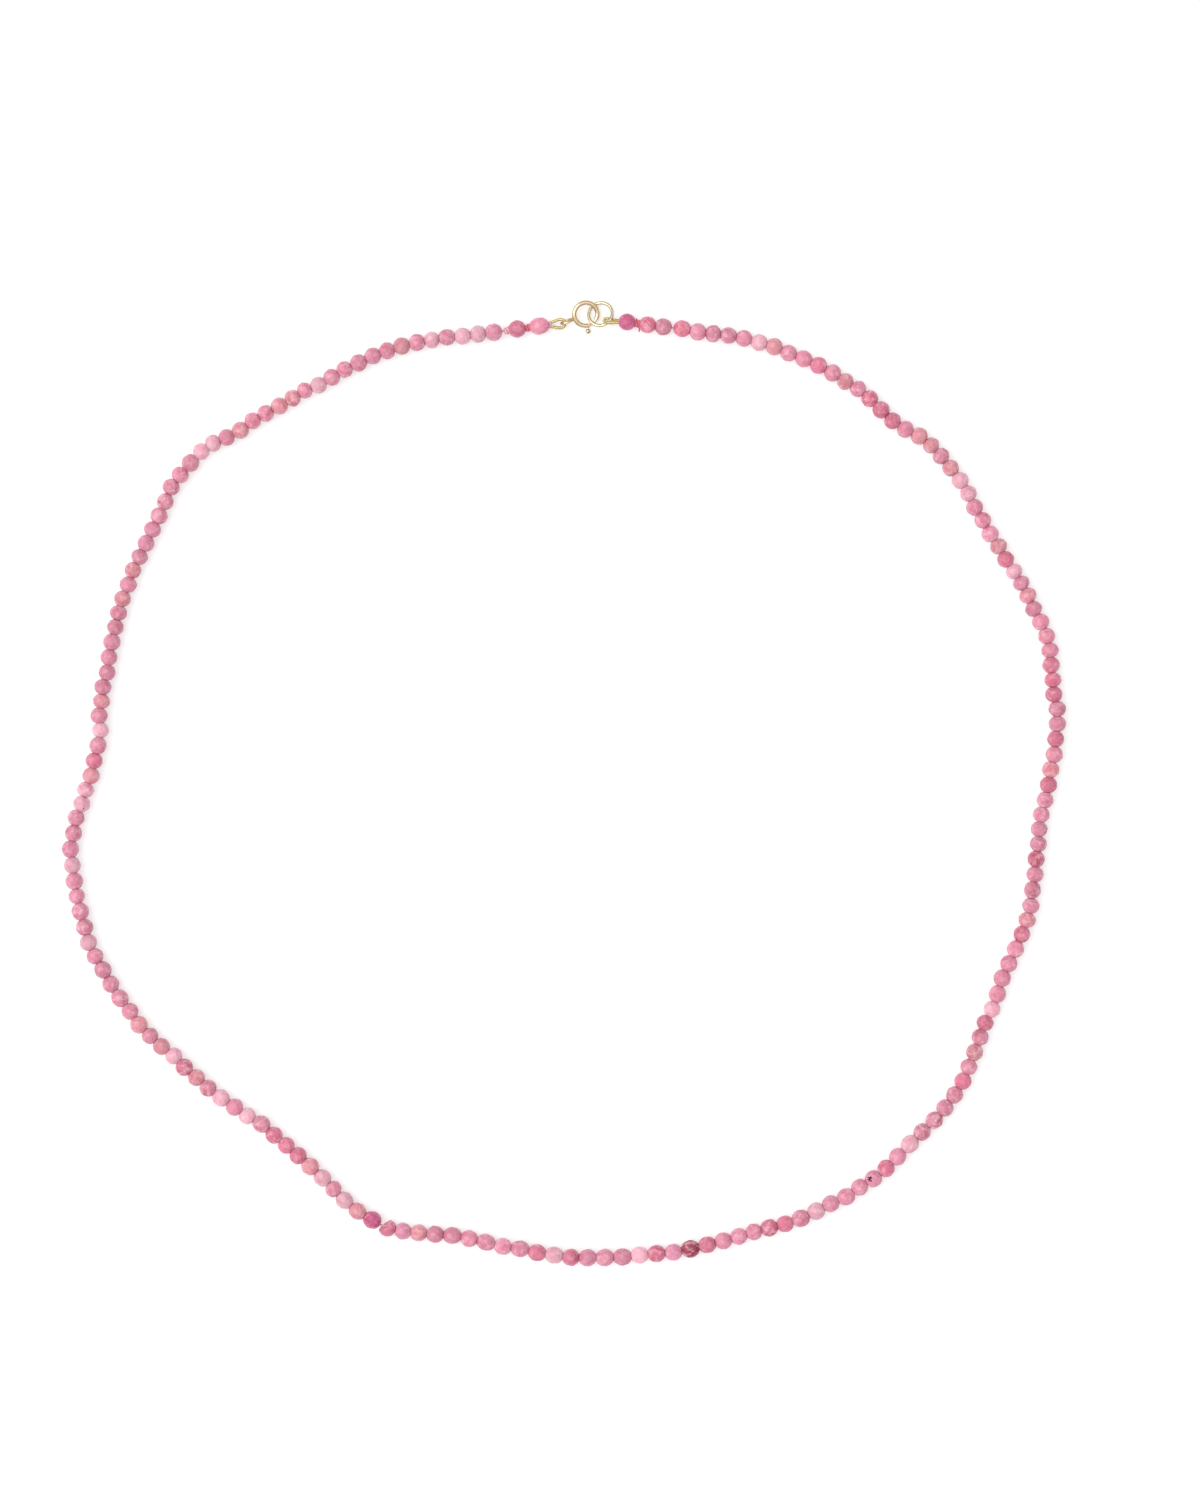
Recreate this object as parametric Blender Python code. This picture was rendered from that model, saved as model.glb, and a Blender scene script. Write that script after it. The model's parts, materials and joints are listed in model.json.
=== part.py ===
"""Pink stone bead necklace with a spring ring clasp, lying closed in its loop.

Metres, +Z up. The origin is the middle of the loop on the surface it lies on, and the clasp is at
the back, at +Y. Seven pieces: two halves of the bead string, two gimp loops, the jump ring, and the
case and the sliding gate of the spring ring.
"""

import math

import bmesh
import bpy
from mathutils import Matrix, Vector

# Beads and silk
BEAD_DIAMETER = 0.00246
BEAD_LENGTH = 0.00238
BEAD_SIDES = 10
BEAD_BAND = 0.00096
BEAD_FACE_DIAMETER = 0.0009
END_BEAD_LENGTH = 0.0029
THREAD_DIAMETER = 0.0004
THREAD_SHOWING = 0.0004
THREAD_SEAT = 0.00005
KNOT_LENGTH = 0.00072
KNOT_TOP_LENGTH = 0.00024
KNOT_TAPER = 0.00012
KNOT_DIAMETER = 0.00096
STRING_GAP = 0.0001

# Route of the string, from the jump ring's side round the front to the eye's side
ROUTE = [
    (0.0148, 0.0694), (0.0224, 0.0683), (0.0297, 0.0669), (0.0358, 0.0647), (0.0440, 0.0603),
    (0.0510, 0.0543), (0.0547, 0.0521), (0.0595, 0.0470), (0.0632, 0.0407), (0.0668, 0.0347),
    (0.0714, 0.0267), (0.0738, 0.0207), (0.0744, 0.0139), (0.0750, 0.0094), (0.0741, 0.0026),
    (0.0724, -0.0062), (0.0714, -0.0152), (0.0700, -0.0223), (0.0662, -0.0310), (0.0628, -0.0399),
    (0.0597, -0.0469), (0.0529, -0.0546), (0.0455, -0.0611), (0.0367, -0.0658), (0.0269, -0.0688),
    (0.0168, -0.0712), (0.0039, -0.0722), (-0.0062, -0.0709), (-0.0162, -0.0689), (-0.0237, -0.0683),
    (-0.0300, -0.0660), (-0.0372, -0.0595), (-0.0447, -0.0529), (-0.0528, -0.0474), (-0.0599, -0.0410),
    (-0.0651, -0.0360), (-0.0711, -0.0265), (-0.0733, -0.0203), (-0.0749, -0.0107), (-0.0742, -0.0055),
    (-0.0726, -0.0012), (-0.0704, 0.0075), (-0.0706, 0.0097), (-0.0697, 0.0163), (-0.0685, 0.0226),
    (-0.0659, 0.0310), (-0.0621, 0.0395), (-0.0591, 0.0455), (-0.0548, 0.0508), (-0.0505, 0.0529),
    (-0.0449, 0.0564), (-0.0367, 0.0609), (-0.0284, 0.0652), (-0.0192, 0.0675), (-0.0099, 0.0686),
]
ROUTE_SAMPLES = 16

# Length of a bead against the mean one, at each tenth of the way along the route
BEAD_STRETCH = [1.03, 0.98, 0.95, 0.98, 1.06, 1.08, 1.03, 1.00, 0.95, 0.95, 1.02]

# Spring ring, whose centre lies past the middle between the route's two ends
CLASP_ASIDE = 0.00089
CLASP_BEYOND = 0.00227
RING_DIAMETER = 0.00424
TUBE_DIAMETER = 0.00068
BORE_DIAMETER = 0.00048
CASE_START = 336.0
CASE_END = 287.0
RING_SLOPE_X = -0.15
TUBE_SIDES = 12
BORE_SIDES = 10
ARC_STEP = 10.0

# Sliding gate with its trigger
GATE_DIAMETER = 0.00038
GATE_SIDES = 8
GATE_TIP_INSET = 3.0
GATE_TAIL = 4.0
STEM_ANGLE = 279.0
STEM_DIAMETER = 0.00018
STEM_SIDES = 8
STEM_LIFT = 18.0
KNOB_DIAMETER = 0.00078
KNOB_SIDES = 12
KNOB_RINGS = 8
KNOB_CLEARANCE = 0.00014
SLOT_CLEARANCE = 0.00005
SLOT_DEPTH_INSIDE = 0.00012
TRAVEL_MARGIN = 2.0

# Soldered eye of the case
EYE_ANGLE = 202.0
EYE_DIAMETER = 0.0021
EYE_WIRE = 0.00038
EYE_SOLDER = 0.00008
EYE_SIDES = 10
EYE_STEPS = 20

# Jump ring
JUMP_DIAMETER = 0.00415
JUMP_WIRE = 0.00048
JUMP_SLOPE_X = 0.22
JUMP_SIDES = 8
JUMP_STEPS = 32
RING_OVERLAP = 0.00139
LINK_GAP = 0.00012
SLANT_ALLOWANCE = 1.08

# Gimp loops
GIMP_DIAMETER = 0.0005
GIMP_WIDTH = 0.00182
GIMP_GAP = 0.00006
GIMP_SIDES = 8
GIMP_ARM_STEPS = 5
GIMP_BEND_STEPS = 8
RIGHT_LENGTH = 0.0022
RIGHT_HOLD_ANGLE = -37.0
RIGHT_HEADING = -4.0
RIGHT_SLACK = 0.0004
LEFT_LENGTH = 0.0024
LEFT_HEADING = 187.0
LEFT_SLACK = 0.00004
SEAT_GAP = 0.00006

# Mesh values
WELD_DISTANCE = 1e-7
SHARP_ANGLE = 35.0

# Worked out from the sizes above
CLASP_CENTRE = (
    (ROUTE[0][0] + ROUTE[-1][0]) / 2 + CLASP_ASIDE,
    (ROUTE[0][1] + ROUTE[-1][1]) / 2 + CLASP_BEYOND,
)
RING_RADIUS = (RING_DIAMETER - TUBE_DIAMETER) / 2
EYE_RADIUS = (EYE_DIAMETER - EYE_WIRE) / 2
EYE_REACH = RING_DIAMETER / 2 - EYE_SOLDER + EYE_WIRE / 2 + EYE_RADIUS
JUMP_RADIUS = (JUMP_DIAMETER - JUMP_WIRE) / 2
RING_SPACING = RING_RADIUS + JUMP_RADIUS - RING_OVERLAP
KNOB_REACH = TUBE_DIAMETER / 2 + KNOB_CLEARANCE + KNOB_DIAMETER / 2
BEAD_CORNER_RADIUS = BEAD_DIAMETER / (1 + math.cos(math.pi / BEAD_SIDES))
BEAD_HEIGHT = BEAD_CORNER_RADIUS * math.cos(math.pi / BEAD_SIDES)
OPENING_ANGLE = CASE_START - CASE_END
GATE_TRAVEL = OPENING_ANGLE + GATE_TIP_INSET + TRAVEL_MARGIN

STONE_PINK = (0.72, 0.22, 0.32, 1.0)
CASE_GOLD = (0.83, 0.62, 0.34, 1.0)
RING_GOLD = (0.86, 0.74, 0.48, 1.0)
GIMP_GOLD = (0.80, 0.66, 0.24, 1.0)


def clear_scene():
    """Remove everything that the file opened with."""
    for item in list(bpy.data.objects):
        bpy.data.objects.remove(item, do_unlink=True)
    for collection in list(bpy.data.collections):
        bpy.data.collections.remove(collection)


def new_collection(name):
    """Make a collection in the scene."""
    collection = bpy.data.collections.new(name)
    bpy.context.scene.collection.children.link(collection)
    return collection


def material(name, colour, roughness, metallic):
    """Make a Principled material from a colour and two values."""
    made = bpy.data.materials.new(name)
    made.use_nodes = True
    shader = made.node_tree.nodes["Principled BSDF"]
    shader.inputs["Base Color"].default_value = colour
    shader.inputs["Roughness"].default_value = roughness
    shader.inputs["Metallic"].default_value = metallic
    return made


def tube(name, points, diameter, sides, scales=None, closed=False):
    """Make a tube on a POLY curve, with filled ends; scales widen it point by point, in a level run."""
    curve = bpy.data.curves.new(name, "CURVE")
    curve.dimensions = "3D"
    curve.twist_mode = "Z_UP" if scales else "MINIMUM"
    curve.bevel_depth = diameter / 2
    curve.bevel_resolution = sides // 2 - 2
    curve.use_fill_caps = not closed
    spline = curve.splines.new("POLY")
    spline.points.add(len(points) - 1)
    spline.use_cyclic_u = closed
    for index, point in enumerate(points):
        spline.points[index].co = (*point, 1.0)
        spline.points[index].radius = scales[index] if scales else 1.0
    return bpy.data.objects.new(name, curve)


def as_mesh(tube_object):
    """Turn a tube into a closed mesh object of the same name and place, so that it can be cut."""
    name = tube_object.name
    bpy.context.scene.collection.objects.link(tube_object)
    bpy.context.view_layer.update()
    graph = bpy.context.evaluated_depsgraph_get()
    mesh = bpy.data.meshes.new_from_object(tube_object.evaluated_get(graph))
    place = tube_object.matrix_world.copy()
    bpy.data.objects.remove(tube_object, do_unlink=True)
    shape = bmesh.new()
    shape.from_mesh(mesh)
    bmesh.ops.remove_doubles(shape, verts=shape.verts, dist=WELD_DISTANCE)
    bmesh.ops.recalc_face_normals(shape, faces=shape.faces)
    shape.to_mesh(mesh)
    shape.free()
    made = bpy.data.objects.new(name, mesh)
    made.matrix_world = place
    return made


def mesh_object(name, shape):
    """Turn a bmesh into an object and free it."""
    bmesh.ops.recalc_face_normals(shape, faces=shape.faces)
    mesh = bpy.data.meshes.new(name)
    shape.to_mesh(mesh)
    shape.free()
    return bpy.data.objects.new(name, mesh)


def boolean(target, operation, other):
    """Add an exact Boolean modifier."""
    modifier = target.modifiers.new(f"{operation.title()} {other.name}", "BOOLEAN")
    modifier.operation = operation
    modifier.solver = "EXACT"
    modifier.object = other


def hide_cutter(cutter):
    """Keep a cutter out of the model."""
    cutter.hide_render = True
    cutter.display_type = "WIRE"
    cutters.objects.link(cutter)


def finish(piece, finish_material, parent=None):
    """Link a piece, give it its material, smooth its round faces and parent it."""
    piece.data.materials.append(finish_material)
    if piece.type == "MESH":
        piece.data.shade_smooth()
        piece.data.set_sharp_from_angle(angle=math.radians(SHARP_ANGLE))
    if parent:
        piece.parent = parent
    necklace.objects.link(piece)


def frame_matrix(slope_x, slope_y, centre):
    """The frame of a ring whose plane rises by these slopes along +X and +Y."""
    normal = Vector((-slope_x, -slope_y, 1)).normalized()
    across = Vector((1, 0, slope_x)).normalized()
    along = normal.cross(across)
    frame = Matrix((across, along, normal)).transposed().to_4x4()
    frame.translation = centre
    return frame


def frame_empty(name, matrix):
    """An empty that carries pieces built flat in a ring's own frame."""
    empty = bpy.data.objects.new(name, None)
    empty.empty_display_size = RING_DIAMETER
    empty.matrix_world = matrix
    necklace.objects.link(empty)
    return empty


def polar(radius, degrees, height=0.0):
    """A point at this radius, angle and height in a ring's frame."""
    turn = math.radians(degrees)
    return Vector((radius * math.cos(turn), radius * math.sin(turn), height))


def arc(radius, start, end):
    """Points along an arc in a ring's frame, in degrees."""
    count = max(2, math.ceil(abs(end - start) / ARC_STEP))
    return [polar(radius, start + (end - start) * k / count) for k in range(count + 1)]


def circle(radius, steps):
    """Points round a closed circle in a ring's frame."""
    return [polar(radius, 360 * k / steps) for k in range(steps)]


def ring_depth(normal, radius, wire):
    """How far a wire ring reaches below its centre."""
    return radius * math.sqrt(max(0.0, 1 - normal.z**2)) + wire / 2


def linked_frames():
    """Frames of the spring ring and the jump ring, tilted against each other so that they interlock.

    Seen from above, the two circles cross at two places. At the back one the spring ring is on top, at
    the front one the jump ring is. The slope along Y gives both crossings the same clearance.
    """
    crossing_x = (RING_SPACING**2 + RING_RADIUS**2 - JUMP_RADIUS**2) / (2 * RING_SPACING)
    crossing_y = math.sqrt(RING_RADIUS**2 - crossing_x**2)
    apart = ((TUBE_DIAMETER + JUMP_WIRE) / 2 + LINK_GAP) * SLANT_ALLOWANCE
    slope_y = apart / (2 * crossing_y)

    ring = frame_matrix(RING_SLOPE_X, slope_y, (0, 0, 0))
    jump = frame_matrix(JUMP_SLOPE_X, -slope_y, (0, 0, 0))
    turn = ring.to_3x3()
    eye_across = turn @ polar(1, EYE_ANGLE + 90)
    depths = (
        ring_depth(turn.col[2], RING_RADIUS, TUBE_DIAMETER),
        ring_depth(eye_across, EYE_RADIUS, EYE_WIRE) - (turn @ polar(EYE_REACH, EYE_ANGLE)).z,
        KNOB_DIAMETER / 2 - (turn @ knob_centre(STEM_ANGLE)).z,
    )
    ring_height = max(depths)
    jump_height = ring_depth(jump.to_3x3().col[2], JUMP_RADIUS, JUMP_WIRE)
    ring_level = ring_height + RING_SLOPE_X * crossing_x
    jump_level = jump_height - JUMP_SLOPE_X * (RING_SPACING - crossing_x)
    level = max(ring_level, jump_level)
    ring.translation = (*CLASP_CENTRE, ring_height + level - ring_level)
    jump.translation = (CLASP_CENTRE[0] + RING_SPACING, CLASP_CENTRE[1], jump_height + level - jump_level)
    return ring, jump


def knob_centre(degrees):
    """Centre of the trigger's knob in the ring's frame, with its stem at this angle."""
    lift = math.radians(STEM_LIFT)
    return polar(RING_RADIUS + KNOB_REACH * math.cos(lift), degrees, KNOB_REACH * math.sin(lift))


def build_case(parent):
    """Hollow C tube with its bore, trigger slot and soldered eye, as one solid."""
    sweep_end = CASE_END + 360
    case = as_mesh(tube("clasp_case", arc(RING_RADIUS, CASE_START, sweep_end), TUBE_DIAMETER, TUBE_SIDES))

    eye_points = [Vector((point.x, 0, point.y)) for point in circle(EYE_RADIUS, EYE_STEPS)]
    eye_place = Matrix.Rotation(math.radians(EYE_ANGLE), 4, "Z") @ Matrix.Translation((EYE_REACH, 0, 0))
    eye_points = [eye_place @ point for point in eye_points]
    eye = as_mesh(tube("eye_union", eye_points, EYE_WIRE, EYE_SIDES, closed=True))

    bore_points = circle(RING_RADIUS, round(360 / ARC_STEP))
    bore = as_mesh(tube("bore_cutter", bore_points, BORE_DIAMETER, BORE_SIDES, closed=True))

    cutters_used = ((eye, "UNION"), (bore, "DIFFERENCE"), (slot_cutter(), "DIFFERENCE"))
    for cutter, operation in cutters_used:
        cutter.parent = parent
        hide_cutter(cutter)
        boolean(case, operation, cutter)
    finish(case, gold_case, parent)


def slot_cutter():
    """Arc of rectangular section that opens the outer wall for the trigger's stem."""
    half_width = STEM_DIAMETER / 2 + SLOT_CLEARANCE
    stem_half = math.degrees(half_width / RING_RADIUS)
    start = STEM_ANGLE - GATE_TRAVEL - stem_half
    end = STEM_ANGLE + stem_half
    lift = math.radians(STEM_LIFT)
    outward = Vector((math.cos(lift), 0, math.sin(lift)))
    sideways = Vector((-math.sin(lift), 0, math.cos(lift)))
    centre = Vector((RING_RADIUS, 0, 0))
    corners = (
        centre + outward * SLOT_DEPTH_INSIDE - sideways * half_width,
        centre + outward * TUBE_DIAMETER - sideways * half_width,
        centre + outward * TUBE_DIAMETER + sideways * half_width,
        centre + outward * SLOT_DEPTH_INSIDE + sideways * half_width,
    )
    shape = bmesh.new()
    section = shape.faces.new([shape.verts.new(corner) for corner in corners])
    bmesh.ops.rotate(shape, verts=shape.verts, matrix=Matrix.Rotation(math.radians(start), 3, "Z"))
    bmesh.ops.spin(
        shape,
        geom=[section, *section.edges, *section.verts],
        axis=(0, 0, 1),
        cent=(0, 0, 0),
        angle=math.radians(end - start),
        steps=math.ceil((end - start) / ARC_STEP),
    )
    return mesh_object("slot_cutter", shape)


def build_gate(parent):
    """Sliding rod with its trigger stem and knob, as one solid that turns about the ring's centre."""
    tip = CASE_START + GATE_TIP_INSET
    tail = STEM_ANGLE - GATE_TAIL
    gate = as_mesh(tube("clasp_gate", arc(RING_RADIUS, tail, tip), GATE_DIAMETER, GATE_SIDES))

    lift = math.radians(STEM_LIFT)
    outward = Matrix.Rotation(math.radians(STEM_ANGLE), 3, "Z") @ Vector((math.cos(lift), 0, math.sin(lift)))
    root = polar(RING_RADIUS, STEM_ANGLE)
    centre = knob_centre(STEM_ANGLE)
    shape = bmesh.new()
    place = Matrix.Translation((root + centre) / 2) @ outward.to_track_quat("Z", "Y").to_matrix().to_4x4()
    bmesh.ops.create_cone(
        shape,
        cap_ends=True,
        segments=STEM_SIDES,
        radius1=STEM_DIAMETER / 2,
        radius2=STEM_DIAMETER / 2,
        depth=(centre - root).length,
        matrix=place,
    )
    stem = mesh_object("stem_union", shape)

    shape = bmesh.new()
    bmesh.ops.create_uvsphere(
        shape,
        u_segments=KNOB_SIDES,
        v_segments=KNOB_RINGS,
        radius=KNOB_DIAMETER / 2,
        matrix=Matrix.Translation(centre) @ outward.to_track_quat("Z", "Y").to_matrix().to_4x4(),
    )
    knob = mesh_object("knob_union", shape)

    for addition in (stem, knob):
        addition.parent = parent
        hide_cutter(addition)
        boolean(gate, "UNION", addition)
    finish(gate, gold_case, parent)


def build_jump_ring(parent):
    """Closed soldered ring."""
    ring = tube("jump_ring", circle(JUMP_RADIUS, JUMP_STEPS), JUMP_WIRE, JUMP_SIDES, closed=True)
    finish(ring, gold_ring, parent)


def gimp_points(base, along, across, length):
    """Centre line of a gimp loop, out from the bead, round the bend and back."""
    bend = (GIMP_WIDTH - GIMP_DIAMETER) / 2
    root = GIMP_DIAMETER / 2 + GIMP_GAP / 2
    arm = length - bend
    outline = []
    for k in range(GIMP_ARM_STEPS):
        share = k / GIMP_ARM_STEPS
        ease = (1 - math.cos(math.pi * share)) / 2
        outline.append((arm * share, root + (bend - root) * ease))
    for k in range(GIMP_BEND_STEPS + 1):
        turn = math.pi / 2 - math.pi * k / GIMP_BEND_STEPS
        outline.append((arm + bend * math.cos(turn), bend * math.sin(turn)))
    outline += [(u, -v) for u, v in reversed(outline[:GIMP_ARM_STEPS])]
    return [base + along * u + across * v for u, v in outline]


def build_gimp(name, held, held_wire, length, heading_degrees, slack, standing):
    """Gimp loop round the wire at the held point; returns the place of its end bead's face."""
    heading = polar(1, heading_degrees)
    past_wire = (GIMP_DIAMETER + held_wire) / 2 + GIMP_GAP + slack
    base = held + heading * (length - past_wire)
    base.z = BEAD_HEIGHT
    along = (held - base).normalized()
    level_across = Vector((0, 0, 1)).cross(along).normalized()
    across = level_across.cross(along).normalized() if standing else level_across
    loop = tube(name, gimp_points(base, along, across, length), GIMP_DIAMETER, GIMP_SIDES)
    finish(loop, gold_gimp)
    slant = (GIMP_DIAMETER + GIMP_GAP) * abs(along.z)
    return base + heading * (SEAT_GAP + slant)


def smooth_route(points):
    """Dense points on a Catmull-Rom curve through the chosen ones."""
    ends = [points[0] * 2 - points[1], *points, points[-1] * 2 - points[-2]]
    dense = []
    for before, start, end, after in zip(ends, ends[1:], ends[2:], ends[3:]):
        for k in range(ROUTE_SAMPLES):
            t = k / ROUTE_SAMPLES
            bend = (end - before) * t
            bend += (before * 2 - start * 5 + end * 4 - after) * t**2
            bend += (start * 3 - before - end * 3 + after) * t**3
            dense.append(start + bend / 2)
    return [*dense, points[-1]]


def distances(points):
    """How far along the route each point lies."""
    run = [0.0]
    for start, end in zip(points, points[1:]):
        run.append(run[-1] + (end - start).length)
    return run


def points_at(points, wanted):
    """Points of the route at the wanted distances, which only grow."""
    run = distances(points)
    found = []
    k = 0
    for distance in wanted:
        while k < len(run) - 2 and run[k + 1] < distance:
            k += 1
        share = (distance - run[k]) / (run[k + 1] - run[k])
        found.append(points[k].lerp(points[k + 1], share))
    return found


def stretch_at(share):
    """Length of a bead against the mean one, at this share of the route."""
    place = share * (len(BEAD_STRETCH) - 1)
    k = min(int(place), len(BEAD_STRETCH) - 2)
    return BEAD_STRETCH[k] + (BEAD_STRETCH[k + 1] - BEAD_STRETCH[k]) * (place - k)


def bead_spans(count, pitch):
    """Length of each bead, with each half of the string as long as even beads would make it."""
    half = count // 2
    spans = []
    for numbers in (range(1, half + 1), range(half + 1, count + 1)):
        shares = [stretch_at(number / (count + 1)) for number in numbers]
        spans += [pitch * share * len(shares) / sum(shares) for share in shares]
    return spans


def string_stations(length):
    """Stations of the string as distance and diameter, with the place where its halves meet.

    The order is bead, knot, two beads, a short showing thread, the plain run of beads, knot, bead,
    knot and the long end bead. The run takes as many beads as fit.
    """
    fixed = 3 * KNOT_LENGTH + 2 * THREAD_SHOWING + END_BEAD_LENGTH
    count = int((length - fixed) / BEAD_LENGTH)
    pitch = (length - fixed) / count
    spans = [*bead_spans(count, pitch), END_BEAD_LENGTH]
    after_bead = {
        1: (KNOT_LENGTH, True),
        3: (THREAD_SHOWING, False),
        count - 1: (KNOT_LENGTH + THREAD_SHOWING, True),
        count: (KNOT_LENGTH, True),
    }
    stations = [(0.0, BEAD_FACE_DIAMETER)]
    place = 0.0
    halfway = 0.0
    for number, span in enumerate(spans, start=1):
        band = BEAD_BAND / 2 + (span - pitch) / 2
        middle = place + span / 2
        stations.append((middle - band, 2 * BEAD_CORNER_RADIUS))
        stations.append((middle + band, 2 * BEAD_CORNER_RADIUS))
        place += span
        stations.append((place, BEAD_FACE_DIAMETER))
        if number == count // 2:
            halfway = place
        if number in after_bead:
            gap, knotted = after_bead[number]
            stations += between_beads(place, gap, knotted)
            place += gap
    return stations, halfway


def between_beads(start, gap, knotted):
    """Stations of the thread, and of its knot, in a gap between two beads."""
    inside = [(start + THREAD_SEAT, THREAD_DIAMETER)]
    if knotted:
        middle = start + gap - KNOT_LENGTH / 2
        inside.append((middle - KNOT_TOP_LENGTH / 2 - KNOT_TAPER, THREAD_DIAMETER))
        inside.append((middle - KNOT_TOP_LENGTH / 2, KNOT_DIAMETER))
        inside.append((middle + KNOT_TOP_LENGTH / 2, KNOT_DIAMETER))
    inside.append((start + gap - THREAD_SEAT, THREAD_DIAMETER))
    inside.append((start + gap, BEAD_FACE_DIAMETER))
    return inside


def build_string(start, end):
    """The two halves of the bead string, which meet at the front of the loop."""
    chosen = [start, *(Vector((x, y, BEAD_HEIGHT)) for x, y in ROUTE), end]
    route = smooth_route(chosen)
    stations, halfway = string_stations(distances(route)[-1])
    right = [station for station in stations if station[0] < halfway + STRING_GAP / 2]
    left = [station for station in stations if station[0] > halfway - STRING_GAP / 2]
    right[-1] = (halfway - STRING_GAP / 2, BEAD_FACE_DIAMETER)
    left[0] = (halfway + STRING_GAP / 2, BEAD_FACE_DIAMETER)
    for name, half in (("bead_string_right", right), ("bead_string_left", left)):
        points = points_at(route, [distance for distance, _ in half])
        scales = [diameter / BEAD_DIAMETER for _, diameter in half]
        string = tube(name, points, BEAD_DIAMETER, BEAD_SIDES, scales)
        finish(string, stone)


clear_scene()
necklace = new_collection("Pink bead necklace")
cutters = new_collection("Cutters")
stone = material("Pink stone beads", STONE_PINK, 0.25, 0.0)
gold_case = material("Polished gold", CASE_GOLD, 0.2, 1.0)
gold_ring = material("Pale gold", RING_GOLD, 0.2, 1.0)
gold_gimp = material("Coiled gold gimp", GIMP_GOLD, 0.35, 1.0)

ring_matrix, jump_matrix = linked_frames()
ring_frame = frame_empty("spring_ring_frame", ring_matrix)
jump_frame = frame_empty("jump_ring_frame", jump_matrix)
build_case(ring_frame)
build_gate(ring_frame)
build_jump_ring(jump_frame)

jump_hold = jump_matrix @ polar(JUMP_RADIUS, RIGHT_HOLD_ANGLE)
eye_hold = ring_matrix @ polar(EYE_REACH + EYE_RADIUS, EYE_ANGLE)
string_start = build_gimp(
    "gimp_loop_right", jump_hold, JUMP_WIRE, RIGHT_LENGTH, RIGHT_HEADING, RIGHT_SLACK, standing=True
)
string_end = build_gimp(
    "gimp_loop_left", eye_hold, EYE_WIRE, LEFT_LENGTH, LEFT_HEADING, LEFT_SLACK, standing=False
)
build_string(string_start, string_end)
bpy.context.view_layer.update()
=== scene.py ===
"""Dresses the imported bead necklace: cut pink stones on knotted silk, gimp loops and a gold spring ring.

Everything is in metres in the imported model's own frame. The loop lies on the surface z = 0 with its
clasp at +Y. The route of the string and the places of the rings are the ones that the solids use.
"""

import json
import logging
import math
import random
from dataclasses import dataclass, field
from enum import Enum
from typing import Any, Iterable, Sequence

import bmesh
import bpy
import numpy as np
from mathutils import Euler, Matrix, Vector

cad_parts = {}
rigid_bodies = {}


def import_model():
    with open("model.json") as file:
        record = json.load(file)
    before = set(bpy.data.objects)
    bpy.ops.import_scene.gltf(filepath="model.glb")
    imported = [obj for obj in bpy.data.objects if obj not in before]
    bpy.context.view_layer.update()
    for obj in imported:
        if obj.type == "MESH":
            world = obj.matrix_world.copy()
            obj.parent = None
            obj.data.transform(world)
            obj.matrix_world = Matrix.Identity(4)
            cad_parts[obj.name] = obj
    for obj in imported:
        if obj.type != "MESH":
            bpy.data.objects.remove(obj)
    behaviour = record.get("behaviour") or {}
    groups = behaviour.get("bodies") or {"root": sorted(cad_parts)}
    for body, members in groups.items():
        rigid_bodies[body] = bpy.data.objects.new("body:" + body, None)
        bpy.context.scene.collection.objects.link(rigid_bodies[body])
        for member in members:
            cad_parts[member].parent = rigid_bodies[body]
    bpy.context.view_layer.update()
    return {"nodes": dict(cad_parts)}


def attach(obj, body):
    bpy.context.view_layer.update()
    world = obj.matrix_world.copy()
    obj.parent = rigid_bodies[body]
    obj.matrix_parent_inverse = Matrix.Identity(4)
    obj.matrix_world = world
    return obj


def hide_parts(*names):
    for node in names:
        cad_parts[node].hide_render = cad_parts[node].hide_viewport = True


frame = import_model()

LOG = logging.getLogger("necklace")
MM = 0.001
UP = Vector((0, 0, 1))
WELD_DISTANCE = 0.0000005
BEVEL_ANGLE, SHARP_ANGLE = math.radians(50), math.radians(42)

NUMBER, WHOLE, MATERIAL = "NodeSocketFloat", "NodeSocketInt", "NodeSocketMaterial"

Material, Mesh, Node, NodeTree = bpy.types.Material, bpy.types.Mesh, bpy.types.Node, bpy.types.NodeTree
Piece, Socket = bpy.types.Object, bpy.types.NodeSocket
Colour = tuple[float, float, float, float]
Place = tuple[float, float]
Spot = tuple[float, float, float]


def colour(red: int, green: int, blue: int) -> Colour:
    """Turn a display colour into the linear one that shaders take.

    Args:
        red: Red from 0 to 255.
        green: Green from 0 to 255.
        blue: Blue from 0 to 255.

    Returns:
        The linear colour with full alpha.
    """
    shares = (value / 255 for value in (red, green, blue))
    linear = [share / 12.92 if share <= 0.04045 else ((share + 0.055) / 1.055) ** 2.4 for share in shares]
    return (linear[0], linear[1], linear[2], 1.0)


class Shade(Enum):
    """Shades of the pink stones, as they show on the strand."""

    ROSE = colour(211, 140, 160)
    DEEP_ROSE = colour(207, 122, 145)
    PALE = colour(222, 170, 184)
    SALMON = colour(211, 145, 155)
    LILAC = colour(214, 144, 167)
    MAGENTA = colour(198, 100, 140)
    RASPBERRY = colour(182, 80, 106)


class Cut(Enum):
    """How a stone was cut; the value is its place among the cut stones."""

    EVEN = 0
    HAND = 1
    LOOSE = 2
    CHIPPED = 3


class Bodies(Enum):
    """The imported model's moving bodies."""

    NECKLACE = "necklace"
    GATE = "gate"


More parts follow.
